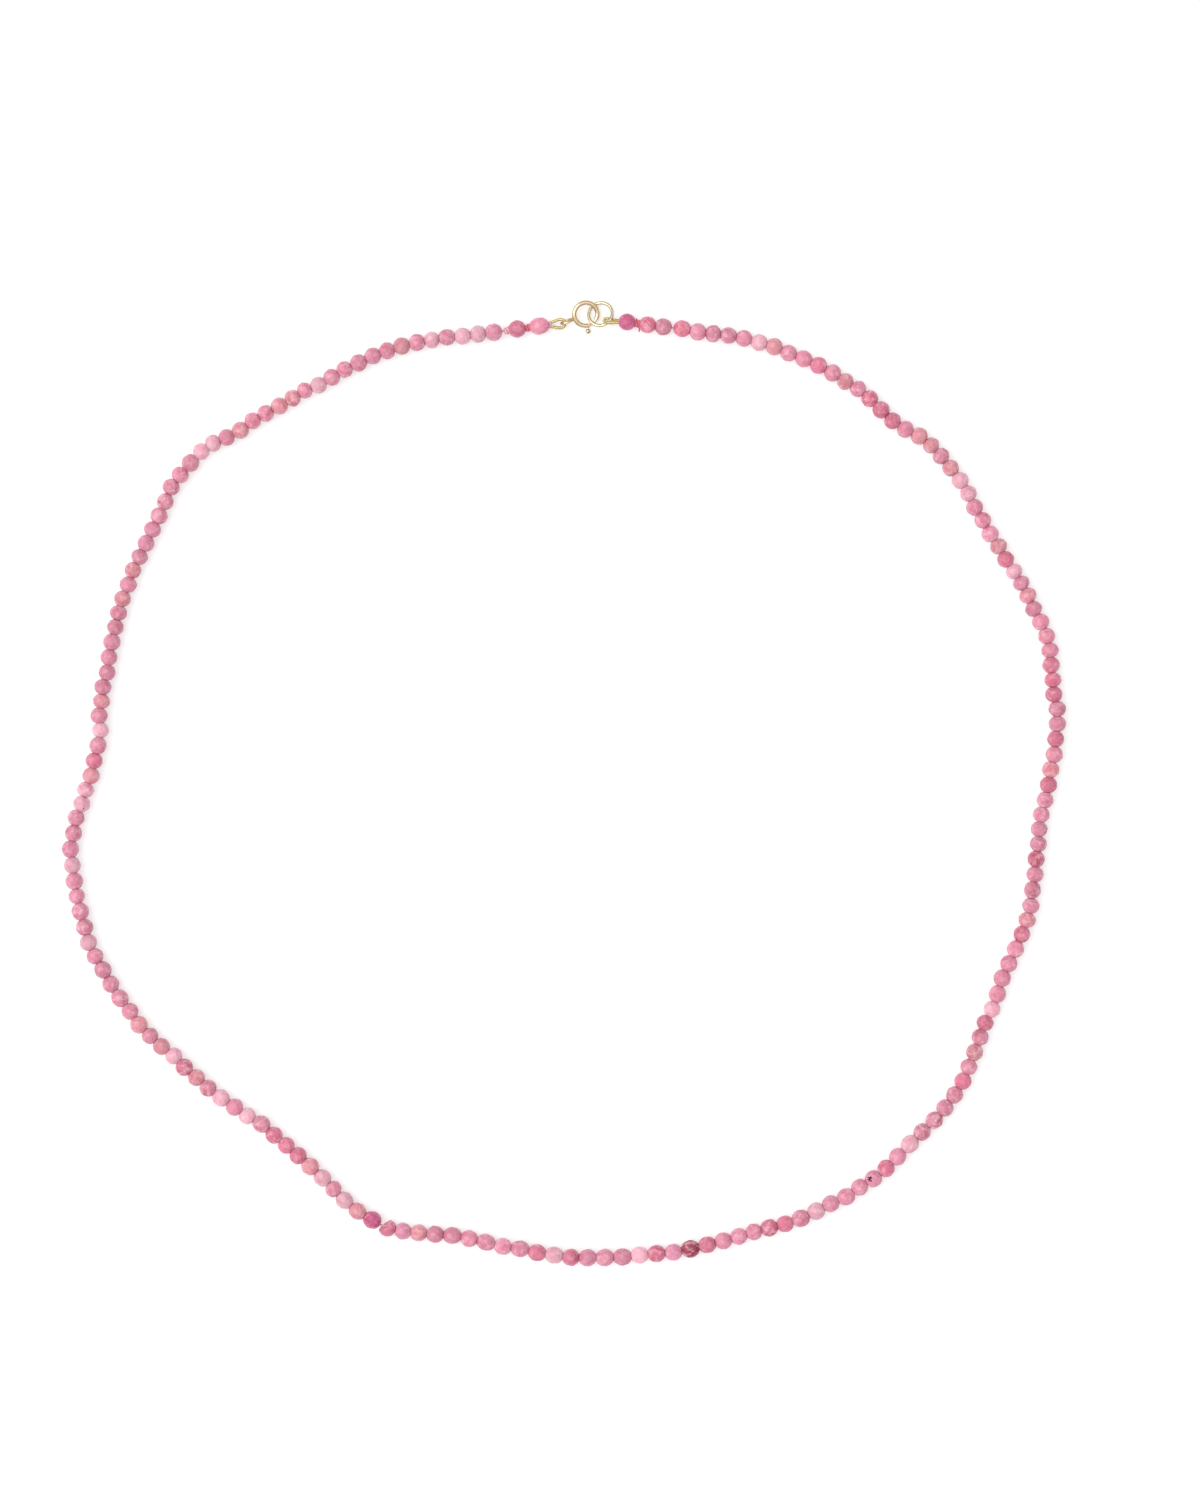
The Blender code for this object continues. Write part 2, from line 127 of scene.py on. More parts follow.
class Wiring:
    """Adds nodes to one tree and joins them."""

    def __init__(self, tree: NodeTree) -> None:
        """Keep the tree that the nodes go into."""
        self.tree = tree

    def add(self, kind: str, inputs: dict[Any, Any] | None = None, **settings: Any) -> Node:
        """Add one node.

        Args:
            kind: The node's type.
            inputs: A value or a socket for each named or numbered input.
            settings: The node's own properties.

        Returns:
            The new node.
        """
        node = self.tree.nodes.new(kind)
        for name, value in settings.items():
            setattr(node, name, value)
        self.fill(node, inputs or {})
        return node

    def fill(self, node: Node, inputs: dict[Any, Any]) -> None:
        """Feed a node's inputs, each with a value or a socket under its name or number."""
        for name, value in inputs.items():
            self.feed(value, node.inputs[name])

    def feed(self, value: Any, socket: Socket) -> None:
        """Join a socket to an input, or set the input's own value."""
        if isinstance(value, Socket):
            self.tree.links.new(value, socket)
        else:
            socket.default_value = value

    def maths(self, operation: str, *values: Any) -> Socket:
        """Work out one number from others and return its socket."""
        kind = "ShaderNodeMath"
        return self.add(kind, dict(enumerate(values)), operation=operation).outputs[0]

    def vectors(self, operation: str, *values: Any) -> Socket:
        """Work out one vector, or a distance, and return its socket."""
        node = self.add("ShaderNodeVectorMath", operation=operation)
        for index, value in enumerate(values):
            is_scale = operation == "SCALE" and index == 1
            self.feed(value, node.inputs["Scale" if is_scale else index])
        return node.outputs["Value" if operation == "DISTANCE" else "Vector"]

    def blend(self, factor: Any, first: Any, second: Any, mode: str = "MIX") -> Socket:
        """Mix two colours and return the result's socket."""
        node = self.add("ShaderNodeMix", data_type="RGBA", blend_type=mode)
        colours = [socket for socket in node.inputs if socket.type == "RGBA"]
        self.feed(factor, node.inputs["Factor"])
        self.feed(first, colours[0])
        self.feed(second, colours[1])
        return [socket for socket in node.outputs if socket.type == "RGBA"][0]

    def span(self, value: Any, low: float, high: float, start: float, end: float) -> Socket:
        """Map a number from one range to another, kept within it, and return its socket."""
        names = ("Value", "From Min", "From Max", "To Min", "To Max")
        node = self.add("ShaderNodeMapRange", dict(zip(names, (value, low, high, start, end))))
        return node.outputs["Result"]

    def read(self, name: str, output: str = "Fac") -> Socket:
        """Read one of the piece's attributes and return its socket."""
        return self.add("ShaderNodeAttribute", attribute_name=name).outputs[output]

    def place(self) -> Socket:
        """The place on the piece, in metres."""
        return self.add("ShaderNodeTexCoord").outputs["Object"]

    def noise(self, place: Any, scale: Any, detail: float, distortion: float = 0.0) -> Socket:
        """Lay noise over a place and return its socket."""
        values = {"Vector": place, "Scale": scale, "Detail": detail, "Distortion": distortion}
        return self.add("ShaderNodeTexNoise", values).outputs[0]

    def bump(self, height: Any, depth: float, strength: float) -> Socket:
        """Turn a height into a normal, with a relief of this depth in metres."""
        values = {"Height": height, "Distance": depth, "Strength": strength}
        return self.add("ShaderNodeBump", values).outputs[0]


def shader_group(name: str, inputs: dict[str, float], outputs: Iterable[str]) -> tuple[Wiring, Node, Node]:
    """Start a shader node group whose sockets are all numbers.

    Args:
        name: The group's name.
        inputs: The default value of each input.
        outputs: The name of each output.

    Returns:
        The wiring of the group, its input node and its output node.
    """
    tree = bpy.data.node_groups.new(name, "ShaderNodeTree")
    for label, value in inputs.items():
        socket = tree.interface.new_socket(label, in_out="INPUT", socket_type=NUMBER)
        socket.default_value = value
    for label in outputs:
        tree.interface.new_socket(label, in_out="OUTPUT", socket_type=NUMBER)
    wiring = Wiring(tree)
    return wiring, wiring.add("NodeGroupInput"), wiring.add("NodeGroupOutput")


class Effects:
    """Shader node groups that several finishes share, each built once."""

    def __init__(self) -> None:
        """Build the groups."""
        self.grain = self.build_grain()
        self.twist = self.build_twist()

    def grained(self, wiring: Wiring, values: dict[str, float]) -> Node:
        """Put the cloud and grain group into a material."""
        return wiring.add("ShaderNodeGroup", values, node_tree=self.grain)

    def build_grain(self) -> NodeTree:
        """Cloudy patches with fine grain in them, from the piece's Object coordinates.

        Returns:
            The group, with the outputs Cloud, Grain and Height.
        """
        inputs = {"Cloud Scale": 600.0, "Grain Scale": 4000.0, "Depth": 0.5}
        wiring, start, end = shader_group("Cloud and grain", inputs, ("Cloud", "Grain", "Height"))
        place = wiring.place()
        cloud = wiring.noise(place, start.outputs["Cloud Scale"], 3.0, 0.6)
        grain = wiring.noise(place, start.outputs["Grain Scale"], 4.0)
        height = wiring.maths("MULTIPLY", wiring.maths("ADD", cloud, grain), start.outputs["Depth"])
        clear = wiring.span(cloud, 0.32, 0.68, 0.0, 1.0)
        wiring.fill(end, {"Cloud": clear, "Grain": wiring.span(grain, 0.3, 0.7, 0.0, 1.0), "Height": height})
        return wiring.tree

    def build_twist(self) -> NodeTree:
        """Plies of a twisted strand, from the strand's own attributes along and section.

        Returns:
            The group, with the outputs Height and the groove mask, which marks the dips between the plies
            where painted shade goes.
        """
        inputs = {"Plies": 3.0, "Turns": 900.0, "Fibre": 0.25}
        wiring, start, end = shader_group("Twisted strand", inputs, ("Height", "Groove"))
        axes = wiring.add("ShaderNodeSeparateXYZ", {"Vector": wiring.read("section", "Vector")})
        around = wiring.maths("ARCTAN2", axes.outputs["Y"], axes.outputs["X"])
        turns = wiring.maths("MULTIPLY", start.outputs["Turns"], math.tau)
        turned = wiring.maths("MULTIPLY", wiring.read("along"), turns)
        phase = wiring.maths("ADD", wiring.maths("MULTIPLY", around, start.outputs["Plies"]), turned)
        ply = wiring.maths("ABSOLUTE", wiring.maths("COSINE", wiring.maths("MULTIPLY", phase, 0.5)))
        fibre = wiring.noise(wiring.place(), 14000.0, 2.0)
        height = wiring.maths("ADD", ply, wiring.maths("MULTIPLY", fibre, start.outputs["Fibre"]))
        # The groove mask is 1 where the plies dip; the silk finish paints shade there.
        wiring.fill(end, {"Height": height, "Groove": wiring.span(ply, 0.0, 0.55, 1.0, 0.0)})
        return wiring.tree


@dataclass(frozen=True)
class Finish:
    """A finish that dresses one Principled material."""

    name: str

    def build(self, effects: Effects) -> Material:
        """Make the material.

        Args:
            effects: The shared shader groups.

        Returns:
            The material.
        """
        made = bpy.data.materials.new(self.name)
        made.use_nodes = True
        wiring = Wiring(made.node_tree)
        wiring.fill(made.node_tree.nodes["Principled BSDF"], self.looks(wiring, effects))
        return made

    def looks(self, wiring: Wiring, effects: Effects) -> dict[str, Any]:
        """The shader's inputs, each a value or a socket."""
        return {}


@dataclass(frozen=True)
class StoneFinish(Finish):
    """Polished cloudy pink stone; each bead carries its own tint and, if noted, a fleck."""

    name: str = "Pink stone"
    veil: Colour = colour(244, 214, 220)
    fleck: Colour = colour(46, 26, 32)
    fleck_ragged: float = 0.0005
    fleck_blur: float = 0.00008
    fleck_strength: float = 0.95
    veil_from: float = 0.45
    veil_share: float = 0.5
    deep_from: float = 0.5
    deep_share: float = 0.8
    deep_mix: float = 0.7
    speck_under: float = 0.16
    speck_share: float = 0.5
    fine_clouds: float = 1300.0
    fine_grain: float = 3600.0
    wide_clouds: float = 620.0
    roughness: Place = (0.17, 0.34)
    relief: float = 0.00004
    relief_strength: float = 0.5
    softness: float = 0.0008

    def looks(self, wiring: Wiring, effects: Effects) -> dict[str, Any]:
        """Cloudy tint with veils, specks and, if noted, a fleck."""
        tint, clouding = wiring.read("tint", "Color"), wiring.read("clouding")
        cloudy = effects.grained(wiring, {"Cloud Scale": self.fine_clouds, "Grain Scale": self.fine_grain})
        patches = effects.grained(wiring, {"Cloud Scale": self.wide_clouds})
        grain = cloudy.outputs["Grain"]

        deep = wiring.blend(self.deep_mix, tint, tint, "MULTIPLY")
        zones = wiring.span(patches.outputs["Cloud"], self.deep_from, 1.0, 0.0, self.deep_share)
        base = wiring.blend(wiring.maths("MULTIPLY", zones, clouding), tint, deep)
        veils = wiring.span(cloudy.outputs["Cloud"], self.veil_from, 1.0, 0.0, self.veil_share)
        base = wiring.blend(wiring.maths("MULTIPLY", veils, clouding), base, self.veil)
        specks = wiring.span(grain, 0.0, self.speck_under, self.speck_share, 0.0)
        base = wiring.blend(specks, base, deep)

        away = wiring.vectors("DISTANCE", wiring.place(), wiring.read("fleck_place", "Vector"))
        apart = wiring.maths("ADD", away, wiring.maths("MULTIPLY", grain, self.fleck_ragged))
        inside = wiring.maths("SUBTRACT", wiring.read("fleck_size"), apart)
        dark = wiring.span(inside, 0.0, self.fleck_blur, 0.0, self.fleck_strength)
        return {
            "Base Color": wiring.blend(dark, base, self.fleck),
            "Roughness": wiring.span(grain, 0.0, 1.0, *self.roughness),
            "Normal": wiring.bump(cloudy.outputs["Height"], self.relief, self.relief_strength),
            "IOR": 1.5,
            "Specular IOR Level": 0.25,
            "Subsurface Weight": 0.75,
            "Subsurface Radius": (1.0, 0.5, 0.62),
            "Subsurface Scale": self.softness,
        }


@dataclass(frozen=True)
class GoldFinish(Finish):
    """Gold with soft handling marks and a slightly deeper tone in its clouds."""

    face: Colour
    deep: Colour
    edge: Colour = colour(150, 112, 72)
    clouds: float = 900.0
    grain: float = 7000.0
    depth: float = 0.4
    deep_share: float = 0.8
    roughness: Place = (0.16, 0.26)
    relief: float = 0.00001
    relief_strength: float = 0.35

    def looks(self, wiring: Wiring, effects: Effects) -> dict[str, Any]:
        """Worn metal, deeper in its clouds and duller in its marks."""
        values = {"Cloud Scale": self.clouds, "Grain Scale": self.grain, "Depth": self.depth}
        worn = effects.grained(wiring, values)
        deepened = wiring.maths("MULTIPLY", worn.outputs["Cloud"], self.deep_share)
        return {
            "Base Color": wiring.blend(deepened, self.face, self.deep),
            "Roughness": wiring.span(worn.outputs["Grain"], 0.0, 1.0, *self.roughness),
            "Normal": wiring.bump(worn.outputs["Height"], self.relief, self.relief_strength),
            "Metallic": 1.0,
            "Specular Tint": self.edge,
        }


@dataclass(frozen=True)
class SilkFinish(Finish):
    """Dyed silk thread with its plies showing, and painted shade in the grooves between them."""

    dye: Colour
    # A darker colour painted into the grooves between the plies as shade.
    groove: Colour
    roughness: Place = (0.7, 0.42)
    relief: float = 0.00005
    relief_strength: float = 0.8

    def looks(self, wiring: Wiring, effects: Effects) -> dict[str, Any]:
        """Dyed plies with painted shade in the grooves between them, which are also duller."""
        strand = wiring.add("ShaderNodeGroup", node_tree=effects.twist)
        return {
            # Painted shade: the groove colour goes where the plies dip.
            "Base Color": wiring.blend(strand.outputs["Groove"], self.dye, self.groove),
            "Roughness": wiring.span(strand.outputs["Height"], 0.0, 1.2, *self.roughness),
            "Normal": wiring.bump(strand.outputs["Height"], self.relief, self.relief_strength),
            "Sheen Weight": 0.3,
            "Subsurface Weight": 0.2,
            "Subsurface Scale": 0.0002,
        }


@dataclass(frozen=True)
class SurfaceFinish(Finish):
    """Plain white light table under the necklace."""

    name: str = "White light table"
    face: Colour = (0.5, 0.5, 0.5, 1.0)
    shade: Colour = (0.48, 0.48, 0.48, 1.0)
    glow: float = 0.53

    def looks(self, wiring: Wiring, effects: Effects) -> dict[str, Any]:
        """A glowing face with a very faint mottle."""
        mottle = wiring.noise(wiring.place(), 60.0, 5.0)
        return {
            "Base Color": wiring.blend(mottle, self.face, self.shade),
            "Roughness": wiring.span(mottle, 0.3, 0.7, 0.6, 0.75),
            "Emission Color": (1.0, 1.0, 1.0, 1.0),
            "Emission Strength": self.glow,
        }


def new_object(name: str, data: bpy.types.ID) -> Piece:
    """Make an object of its data and link it to the scene."""
    made = bpy.data.objects.new(name, data)
    bpy.context.scene.collection.objects.link(made)
    return made


def to_mesh(name: str, shape: bmesh.types.BMesh) -> Mesh:
    """Turn a working shape into a mesh and free the shape."""
    mesh = bpy.data.meshes.new(name)
    shape.to_mesh(mesh)
    shape.free()
    return mesh


class GrowthTree:
    """A Geometry Nodes tree with named inputs, run on a base mesh to give a plain mesh."""

    def __init__(self, name: str, inputs: dict[str, str]) -> None:
        """Start the tree.

        Args:
            name: The tree's name.
            inputs: Kind of each named input besides the base geometry.
        """
        self.tree = bpy.data.node_groups.new(name, "GeometryNodeTree")
        shape = "NodeSocketGeometry"
        for label, kind in {"Base": shape, **inputs}.items():
            self.tree.interface.new_socket(label, in_out="INPUT", socket_type=kind)
        self.tree.interface.new_socket("Result", in_out="OUTPUT", socket_type=shape)
        self.wiring = Wiring(self.tree)
        self.start = self.wiring.add("NodeGroupInput")
        self.end = self.wiring.add("NodeGroupOutput")

    def attribute(self, name: str, kind: str = "FLOAT") -> Socket:
        """Read a named attribute of the base geometry and return its socket."""
        node = self.wiring.add("GeometryNodeInputNamedAttribute", {"Name": name}, data_type=kind)
        return node.outputs["Attribute"]

    def store(self, geometry: Socket, name: str, value: Any, kind: str) -> Socket:
        """Write a named attribute onto a geometry's points and return the geometry's socket."""
        values = {"Name": name, "Geometry": geometry, "Value": value}
        node = self.wiring.add("GeometryNodeStoreNamedAttribute", values, data_type=kind, domain="POINT")
        return node.outputs["Geometry"]

    def close(self, geometry: Socket) -> None:
        """End the tree in Realize Instances and Set Material."""
        realized = self.wiring.add("GeometryNodeRealizeInstances", {"Geometry": geometry}).outputs[0]
        values = {"Geometry": realized, "Material": self.start.outputs["Material"]}
        dressed = self.wiring.add("GeometryNodeSetMaterial", values)
        self.wiring.feed(dressed.outputs[0], self.end.inputs[0])

    def grow(self, name: str, base: Mesh, values: dict[str, Any]) -> Piece:
        """Run the tree.

        Args:
            name: The piece's name.
            base: The mesh that the tree starts from.
            values: A value for each named input.

        Returns:
            An object that holds the result as a plain mesh.
        """
        piece = new_object(name, base)
        modifier = piece.modifiers.new("Growth", "NODES")
        modifier.node_group = self.tree
        for item in self.tree.interface.items_tree:
            if item.in_out == "INPUT" and item.name in values:
                modifier[item.identifier] = values[item.name]
        return plain(piece)


def plain(piece: Piece) -> Piece:
    """Turn a piece's modifiers into plain mesh and return the piece."""
    bpy.context.view_layer.update()
    graph = bpy.context.evaluated_depsgraph_get()
    shaped = piece.evaluated_get(graph)
    mesh = bpy.data.meshes.new_from_object(shaped, preserve_all_data_layers=True, depsgraph=graph)
    mesh.name = piece.name
    piece.modifiers.clear()
    piece.data = mesh
    return piece


def polyline(
    name: str, points: Sequence[Vector], closed: bool = False, widths: Sequence[float] = ()
) -> Mesh:
    """Make a mesh of edges along points.

    Args:
        name: The mesh's name.
        points: The points in order.
        closed: Whether the last point joins the first.
        widths: A share of the full radius at each point, or nothing for an even line.

    Returns:
        The mesh, with the attribute width.
    """
    mesh = bpy.data.meshes.new(name)
    edges = [(k, k + 1) for k in range(len(points) - 1)]
    if closed:
        edges.append((len(points) - 1, 0))
    mesh.from_pydata([tuple(point) for point in points], edges, [])
    attribute = mesh.attributes.new("width", "FLOAT", "POINT")
    attribute.data.foreach_set("value", list(widths) or [1.0] * len(points))
    return mesh


def add_profile(tree: GrowthTree, curve: Socket) -> Socket:
    """Sweep a round section along a curve, and store where each point lies on the strand."""
    wiring = tree.wiring
    run = wiring.add("GeometryNodeSplineParameter").outputs["Length"]
    curve = tree.store(curve, "along", run, "FLOAT")
    values = {"Resolution": tree.start.outputs["Sides"], "Radius": tree.start.outputs["Radius"]}
    round_section = wiring.add("GeometryNodeCurvePrimitiveCircle", values, mode="RADIUS")
    spot = wiring.add("GeometryNodeInputPosition").outputs[0]
    profile = tree.store(round_section.outputs["Curve"], "section", spot, "FLOAT_VECTOR")
    values = {"Curve": curve, "Profile Curve": profile, "Fill Caps": True}
    swept = wiring.add("GeometryNodeCurveToMesh", values)
    smooth = wiring.add("GeometryNodeSetShadeSmooth", {"Geometry": swept.outputs[0], "Shade Smooth": True})
    return smooth.outputs[0]


def strand_tree() -> GrowthTree:
    """A round wire or thread along the base mesh's edges.

    Returns:
        The tree, with the inputs Radius, Sides and Material.
    """
    tree = GrowthTree("Strand", {"Radius": NUMBER, "Sides": WHOLE, "Material": MATERIAL})
    wiring = tree.wiring
    curve = wiring.add("GeometryNodeMeshToCurve", {"Mesh": tree.start.outputs["Base"]}).outputs[0]
    sized = wiring.add("GeometryNodeSetCurveRadius", {"Curve": curve, "Radius": tree.attribute("width")})
    tree.close(add_profile(tree, sized.outputs[0]))
    return tree


def coil_tree() -> GrowthTree:
    """A fine wire wound round the base mesh's edges.

    Returns:
        The tree, with the inputs Coil Radius, Turns, Points, Radius, Sides and Material.
    """
    kinds = {"Coil Radius": NUMBER, "Turns": NUMBER, "Points": WHOLE, "Radius": NUMBER, "Sides": WHOLE}
    tree = GrowthTree("Wound coil", {**kinds, "Material": MATERIAL})
    wiring = tree.wiring
    curve = wiring.add("GeometryNodeMeshToCurve", {"Mesh": tree.start.outputs["Base"]}).outputs[0]
    fine = wiring.add("GeometryNodeResampleCurve", {"Curve": curve, "Count": tree.start.outputs["Points"]})
    share = wiring.add("GeometryNodeSplineParameter").outputs["Factor"]
    angle = wiring.maths("MULTIPLY", wiring.maths("MULTIPLY", share, tree.start.outputs["Turns"]), math.tau)
    normal = wiring.add("GeometryNodeInputNormal").outputs[0]
    tangent = wiring.add("GeometryNodeInputTangent").outputs[0]
    across = wiring.vectors("CROSS_PRODUCT", tangent, normal)
    forth = wiring.vectors("SCALE", normal, wiring.maths("COSINE", angle))
    out = wiring.vectors("ADD", forth, wiring.vectors("SCALE", across, wiring.maths("SINE", angle)))
    offset = wiring.vectors("SCALE", out, tree.start.outputs["Coil Radius"])
    wound = wiring.add("GeometryNodeSetPosition", {"Geometry": fine.outputs[0], "Offset": offset})
    tree.close(add_profile(tree, wound.outputs[0]))
    return tree


def strung_tree() -> GrowthTree:
    """Cut stones strung along a route; the base mesh has one point for each stone.

    Returns:
        The tree, with the inputs Route, Stones and Material.
    """
    kinds = {"Route": "NodeSocketObject", "Stones": "NodeSocketCollection", "Material": MATERIAL}
    tree = GrowthTree("Strung stones", kinds)
    wiring = tree.wiring
    route = wiring.add("GeometryNodeObjectInfo", {"Object": tree.start.outputs["Route"]})
    values = {"Curves": route.outputs["Geometry"], "Length": tree.attribute("station")}
    spot = wiring.add("GeometryNodeSampleCurve", values, mode="LENGTH", use_all_curves=True)
    beside = wiring.vectors("CROSS_PRODUCT", (0.0, 0.0, 1.0), spot.outputs["Tangent"])
    aside = wiring.vectors("SCALE", beside, tree.attribute("aside"))
    lift = wiring.add("ShaderNodeCombineXYZ", {"Z": tree.attribute("lift")}).outputs[0]
    place = wiring.vectors("ADD", wiring.vectors("ADD", spot.outputs["Position"], aside), lift)
    values = {"Geometry": tree.start.outputs["Base"], "Position": place}
    placed = wiring.add("GeometryNodeSetPosition", values)

    values = {"Vector": spot.outputs["Tangent"]}
    heading = wiring.add("FunctionNodeAlignRotationToVector", values, axis="X", pivot_axis="Z")
    own_turn = wiring.add("FunctionNodeEulerToRotation", {0: tree.attribute("turn", "FLOAT_VECTOR")})
    values = {"Rotation": heading.outputs[0], "Rotate By": own_turn.outputs[0]}
    turned = wiring.add("FunctionNodeRotateRotation", values, rotation_space="LOCAL")
    values = {"Collection": tree.start.outputs["Stones"], "Separate Children": True, "Reset Children": True}
    stones = wiring.add("GeometryNodeCollectionInfo", values)
    strung = wiring.add("GeometryNodeInstanceOnPoints", {
        "Points": placed.outputs[0],
        "Instance": stones.outputs[0],
        "Pick Instance": True,
        "Instance Index": tree.attribute("cut", "INT"),
        "Rotation": turned.outputs[0],
        "Scale": tree.attribute("size", "FLOAT_VECTOR"),
    })
    tree.close(strung.outputs[0])
    return tree


class Trees:
    """The Geometry Nodes trees that the pieces share."""

    def __init__(self) -> None:
        """Build the trees."""
        self.strand = strand_tree()
        self.coil = coil_tree()
        self.strung = strung_tree()

    def line(
        self,
        name: str,
        points: Sequence[Vector],
        radius: float,
        sides: int,
        material: Material | None = None,
        **shape: Any,
    ) -> Piece:
        """Sweep a round wire or thread along points.

        Args:
            name: The piece's name.
            points: The points of its centre line.
            radius: Its full radius.
            sides: How many sides its section has.
            material: Its material, or nothing where it gets one later.
            shape: What polyline takes besides.

        Returns:
            The wire or thread.
        """
        values = {"Radius": radius, "Sides": sides, **({"Material": material} if material else {})}
        return self.strand.grow(name, polyline(name, points, **shape), values)


class Palette:
    """Every finish of the necklace, built once."""

    def __init__(self) -> None:
        """Build the shared effects and the materials."""
        effects = Effects()
        wire, hollow = colour(248, 236, 184), colour(226, 202, 134)
        self.gimp = GoldFinish("Gimp gold", wire, hollow, roughness=(0.2, 0.28)).build(effects)
        self.clasp = GoldFinish("Polished gold", colour(236, 214, 178), colour(220, 192, 150)).build(effects)
        self.ring = GoldFinish("Pale gold", colour(226, 216, 184), colour(210, 198, 160)).build(effects)
        # The second colour of each silk is painted shade for the grooves between its plies.
        self.silk = SilkFinish("Pale silk", colour(236, 180, 192), colour(208, 130, 148)).build(effects)
        self.red_silk = SilkFinish("Rose silk", colour(220, 106, 128), colour(182, 66, 92)).build(effects)
        self.stone = StoneFinish().build(effects)
        self.surface = SurfaceFinish().build(effects)


def seat(piece: Piece, body: Bodies, nodes: Iterable[str] = ()) -> None:
    """Let a finished piece ride on its body and stand for its nodes, and report it.

    Args:
        piece: The finished piece, at the origin.
        body: The body that carries it.
        nodes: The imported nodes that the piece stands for.
    """
    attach(piece, body.value)
    if nodes:
        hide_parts(*nodes)
    LOG.info("%s: %d faces, rides on %s", piece.name, len(piece.data.polygons), body.value)


@dataclass(frozen=True)
class Route:
    """The line of the string, a smooth curve through chosen places on the surface."""

    start: Place = (0.0083981, 0.0700988)
    end: Place = (-0.0022874, 0.0695994)
    samples: int = 16
    height: float = 0.0011994
    places: tuple[Place, ...] = (
        (0.0148, 0.0694), (0.0224, 0.0683), (0.0297, 0.0669), (0.0358, 0.0647), (0.0440, 0.0603),
        (0.0510, 0.0543), (0.0547, 0.0521), (0.0595, 0.0470), (0.0632, 0.0407), (0.0668, 0.0347),
        (0.0714, 0.0267), (0.0738, 0.0207), (0.0744, 0.0139), (0.0750, 0.0094), (0.0741, 0.0026),
        (0.0724, -0.0062), (0.0714, -0.0152), (0.0700, -0.0223), (0.0662, -0.0310), (0.0628, -0.0399),
        (0.0597, -0.0469), (0.0529, -0.0546), (0.0455, -0.0611), (0.0367, -0.0658), (0.0269, -0.0688),
        (0.0168, -0.0712), (0.0039, -0.0722), (-0.0062, -0.0709), (-0.0162, -0.0689), (-0.0237, -0.0683),
        (-0.0300, -0.0660), (-0.0372, -0.0595), (-0.0447, -0.0529), (-0.0528, -0.0474), (-0.0599, -0.0410),
        (-0.0651, -0.0360), (-0.0711, -0.0265), (-0.0733, -0.0203), (-0.0749, -0.0107), (-0.0742, -0.0055),
        (-0.0726, -0.0012), (-0.0704, 0.0075), (-0.0706, 0.0097), (-0.0697, 0.0163), (-0.0685, 0.0226),
        (-0.0659, 0.0310), (-0.0621, 0.0395), (-0.0591, 0.0455), (-0.0548, 0.0508), (-0.0505, 0.0529),
        (-0.0449, 0.0564), (-0.0367, 0.0609), (-0.0284, 0.0652), (-0.0192, 0.0675), (-0.0099, 0.0686),
    )

    def dense(self) -> list[Vector]:
        """Points on a Catmull-Rom curve through the places, on the surface."""
        chosen = [Vector((x, y, 0.0)) for x, y in (self.start, *self.places, self.end)]
        ends = [chosen[0] * 2 - chosen[1], *chosen, chosen[-1] * 2 - chosen[-2]]
        found = []
        for before, start, end, after in zip(ends, ends[1:], ends[2:], ends[3:]):
            for k in range(self.samples):
                t = k / self.samples
                bend = (end - before) * t
                bend += (before * 2 - start * 5 + end * 4 - after) * t**2
                bend += (start * 3 - before - end * 3 + after) * t**3
                found.append(start + bend / 2)
        return [*found, chosen[-1]]

    def run(self) -> np.ndarray:
        """How far along the route each dense point lies."""
        points = np.array(self.dense())
        steps = np.linalg.norm(np.diff(points, axis=0), axis=1)
        return np.concatenate(([0.0], np.cumsum(steps)))

    def at(self, distance: float, height: float) -> Vector:
        """The point at a distance along the route, at a height above the surface."""
        points, run = np.array(self.dense()), self.run()
        x, y = (float(np.interp(distance, run, points[:, axis])) for axis in (0, 1))
        return Vector((x, y, height))

    def curve_object(self) -> Piece:
        """A helper curve along the route, on the surface."""
        curve = bpy.data.curves.new("string_route", "CURVE")
        curve.dimensions = "3D"
        spline = curve.splines.new("POLY")
        points = self.dense()
        spline.points.add(len(points) - 1)
        for target, point in zip(spline.points, points):
            target.co = (*point, 1.0)
        return bpy.data.objects.new("string_route", curve)


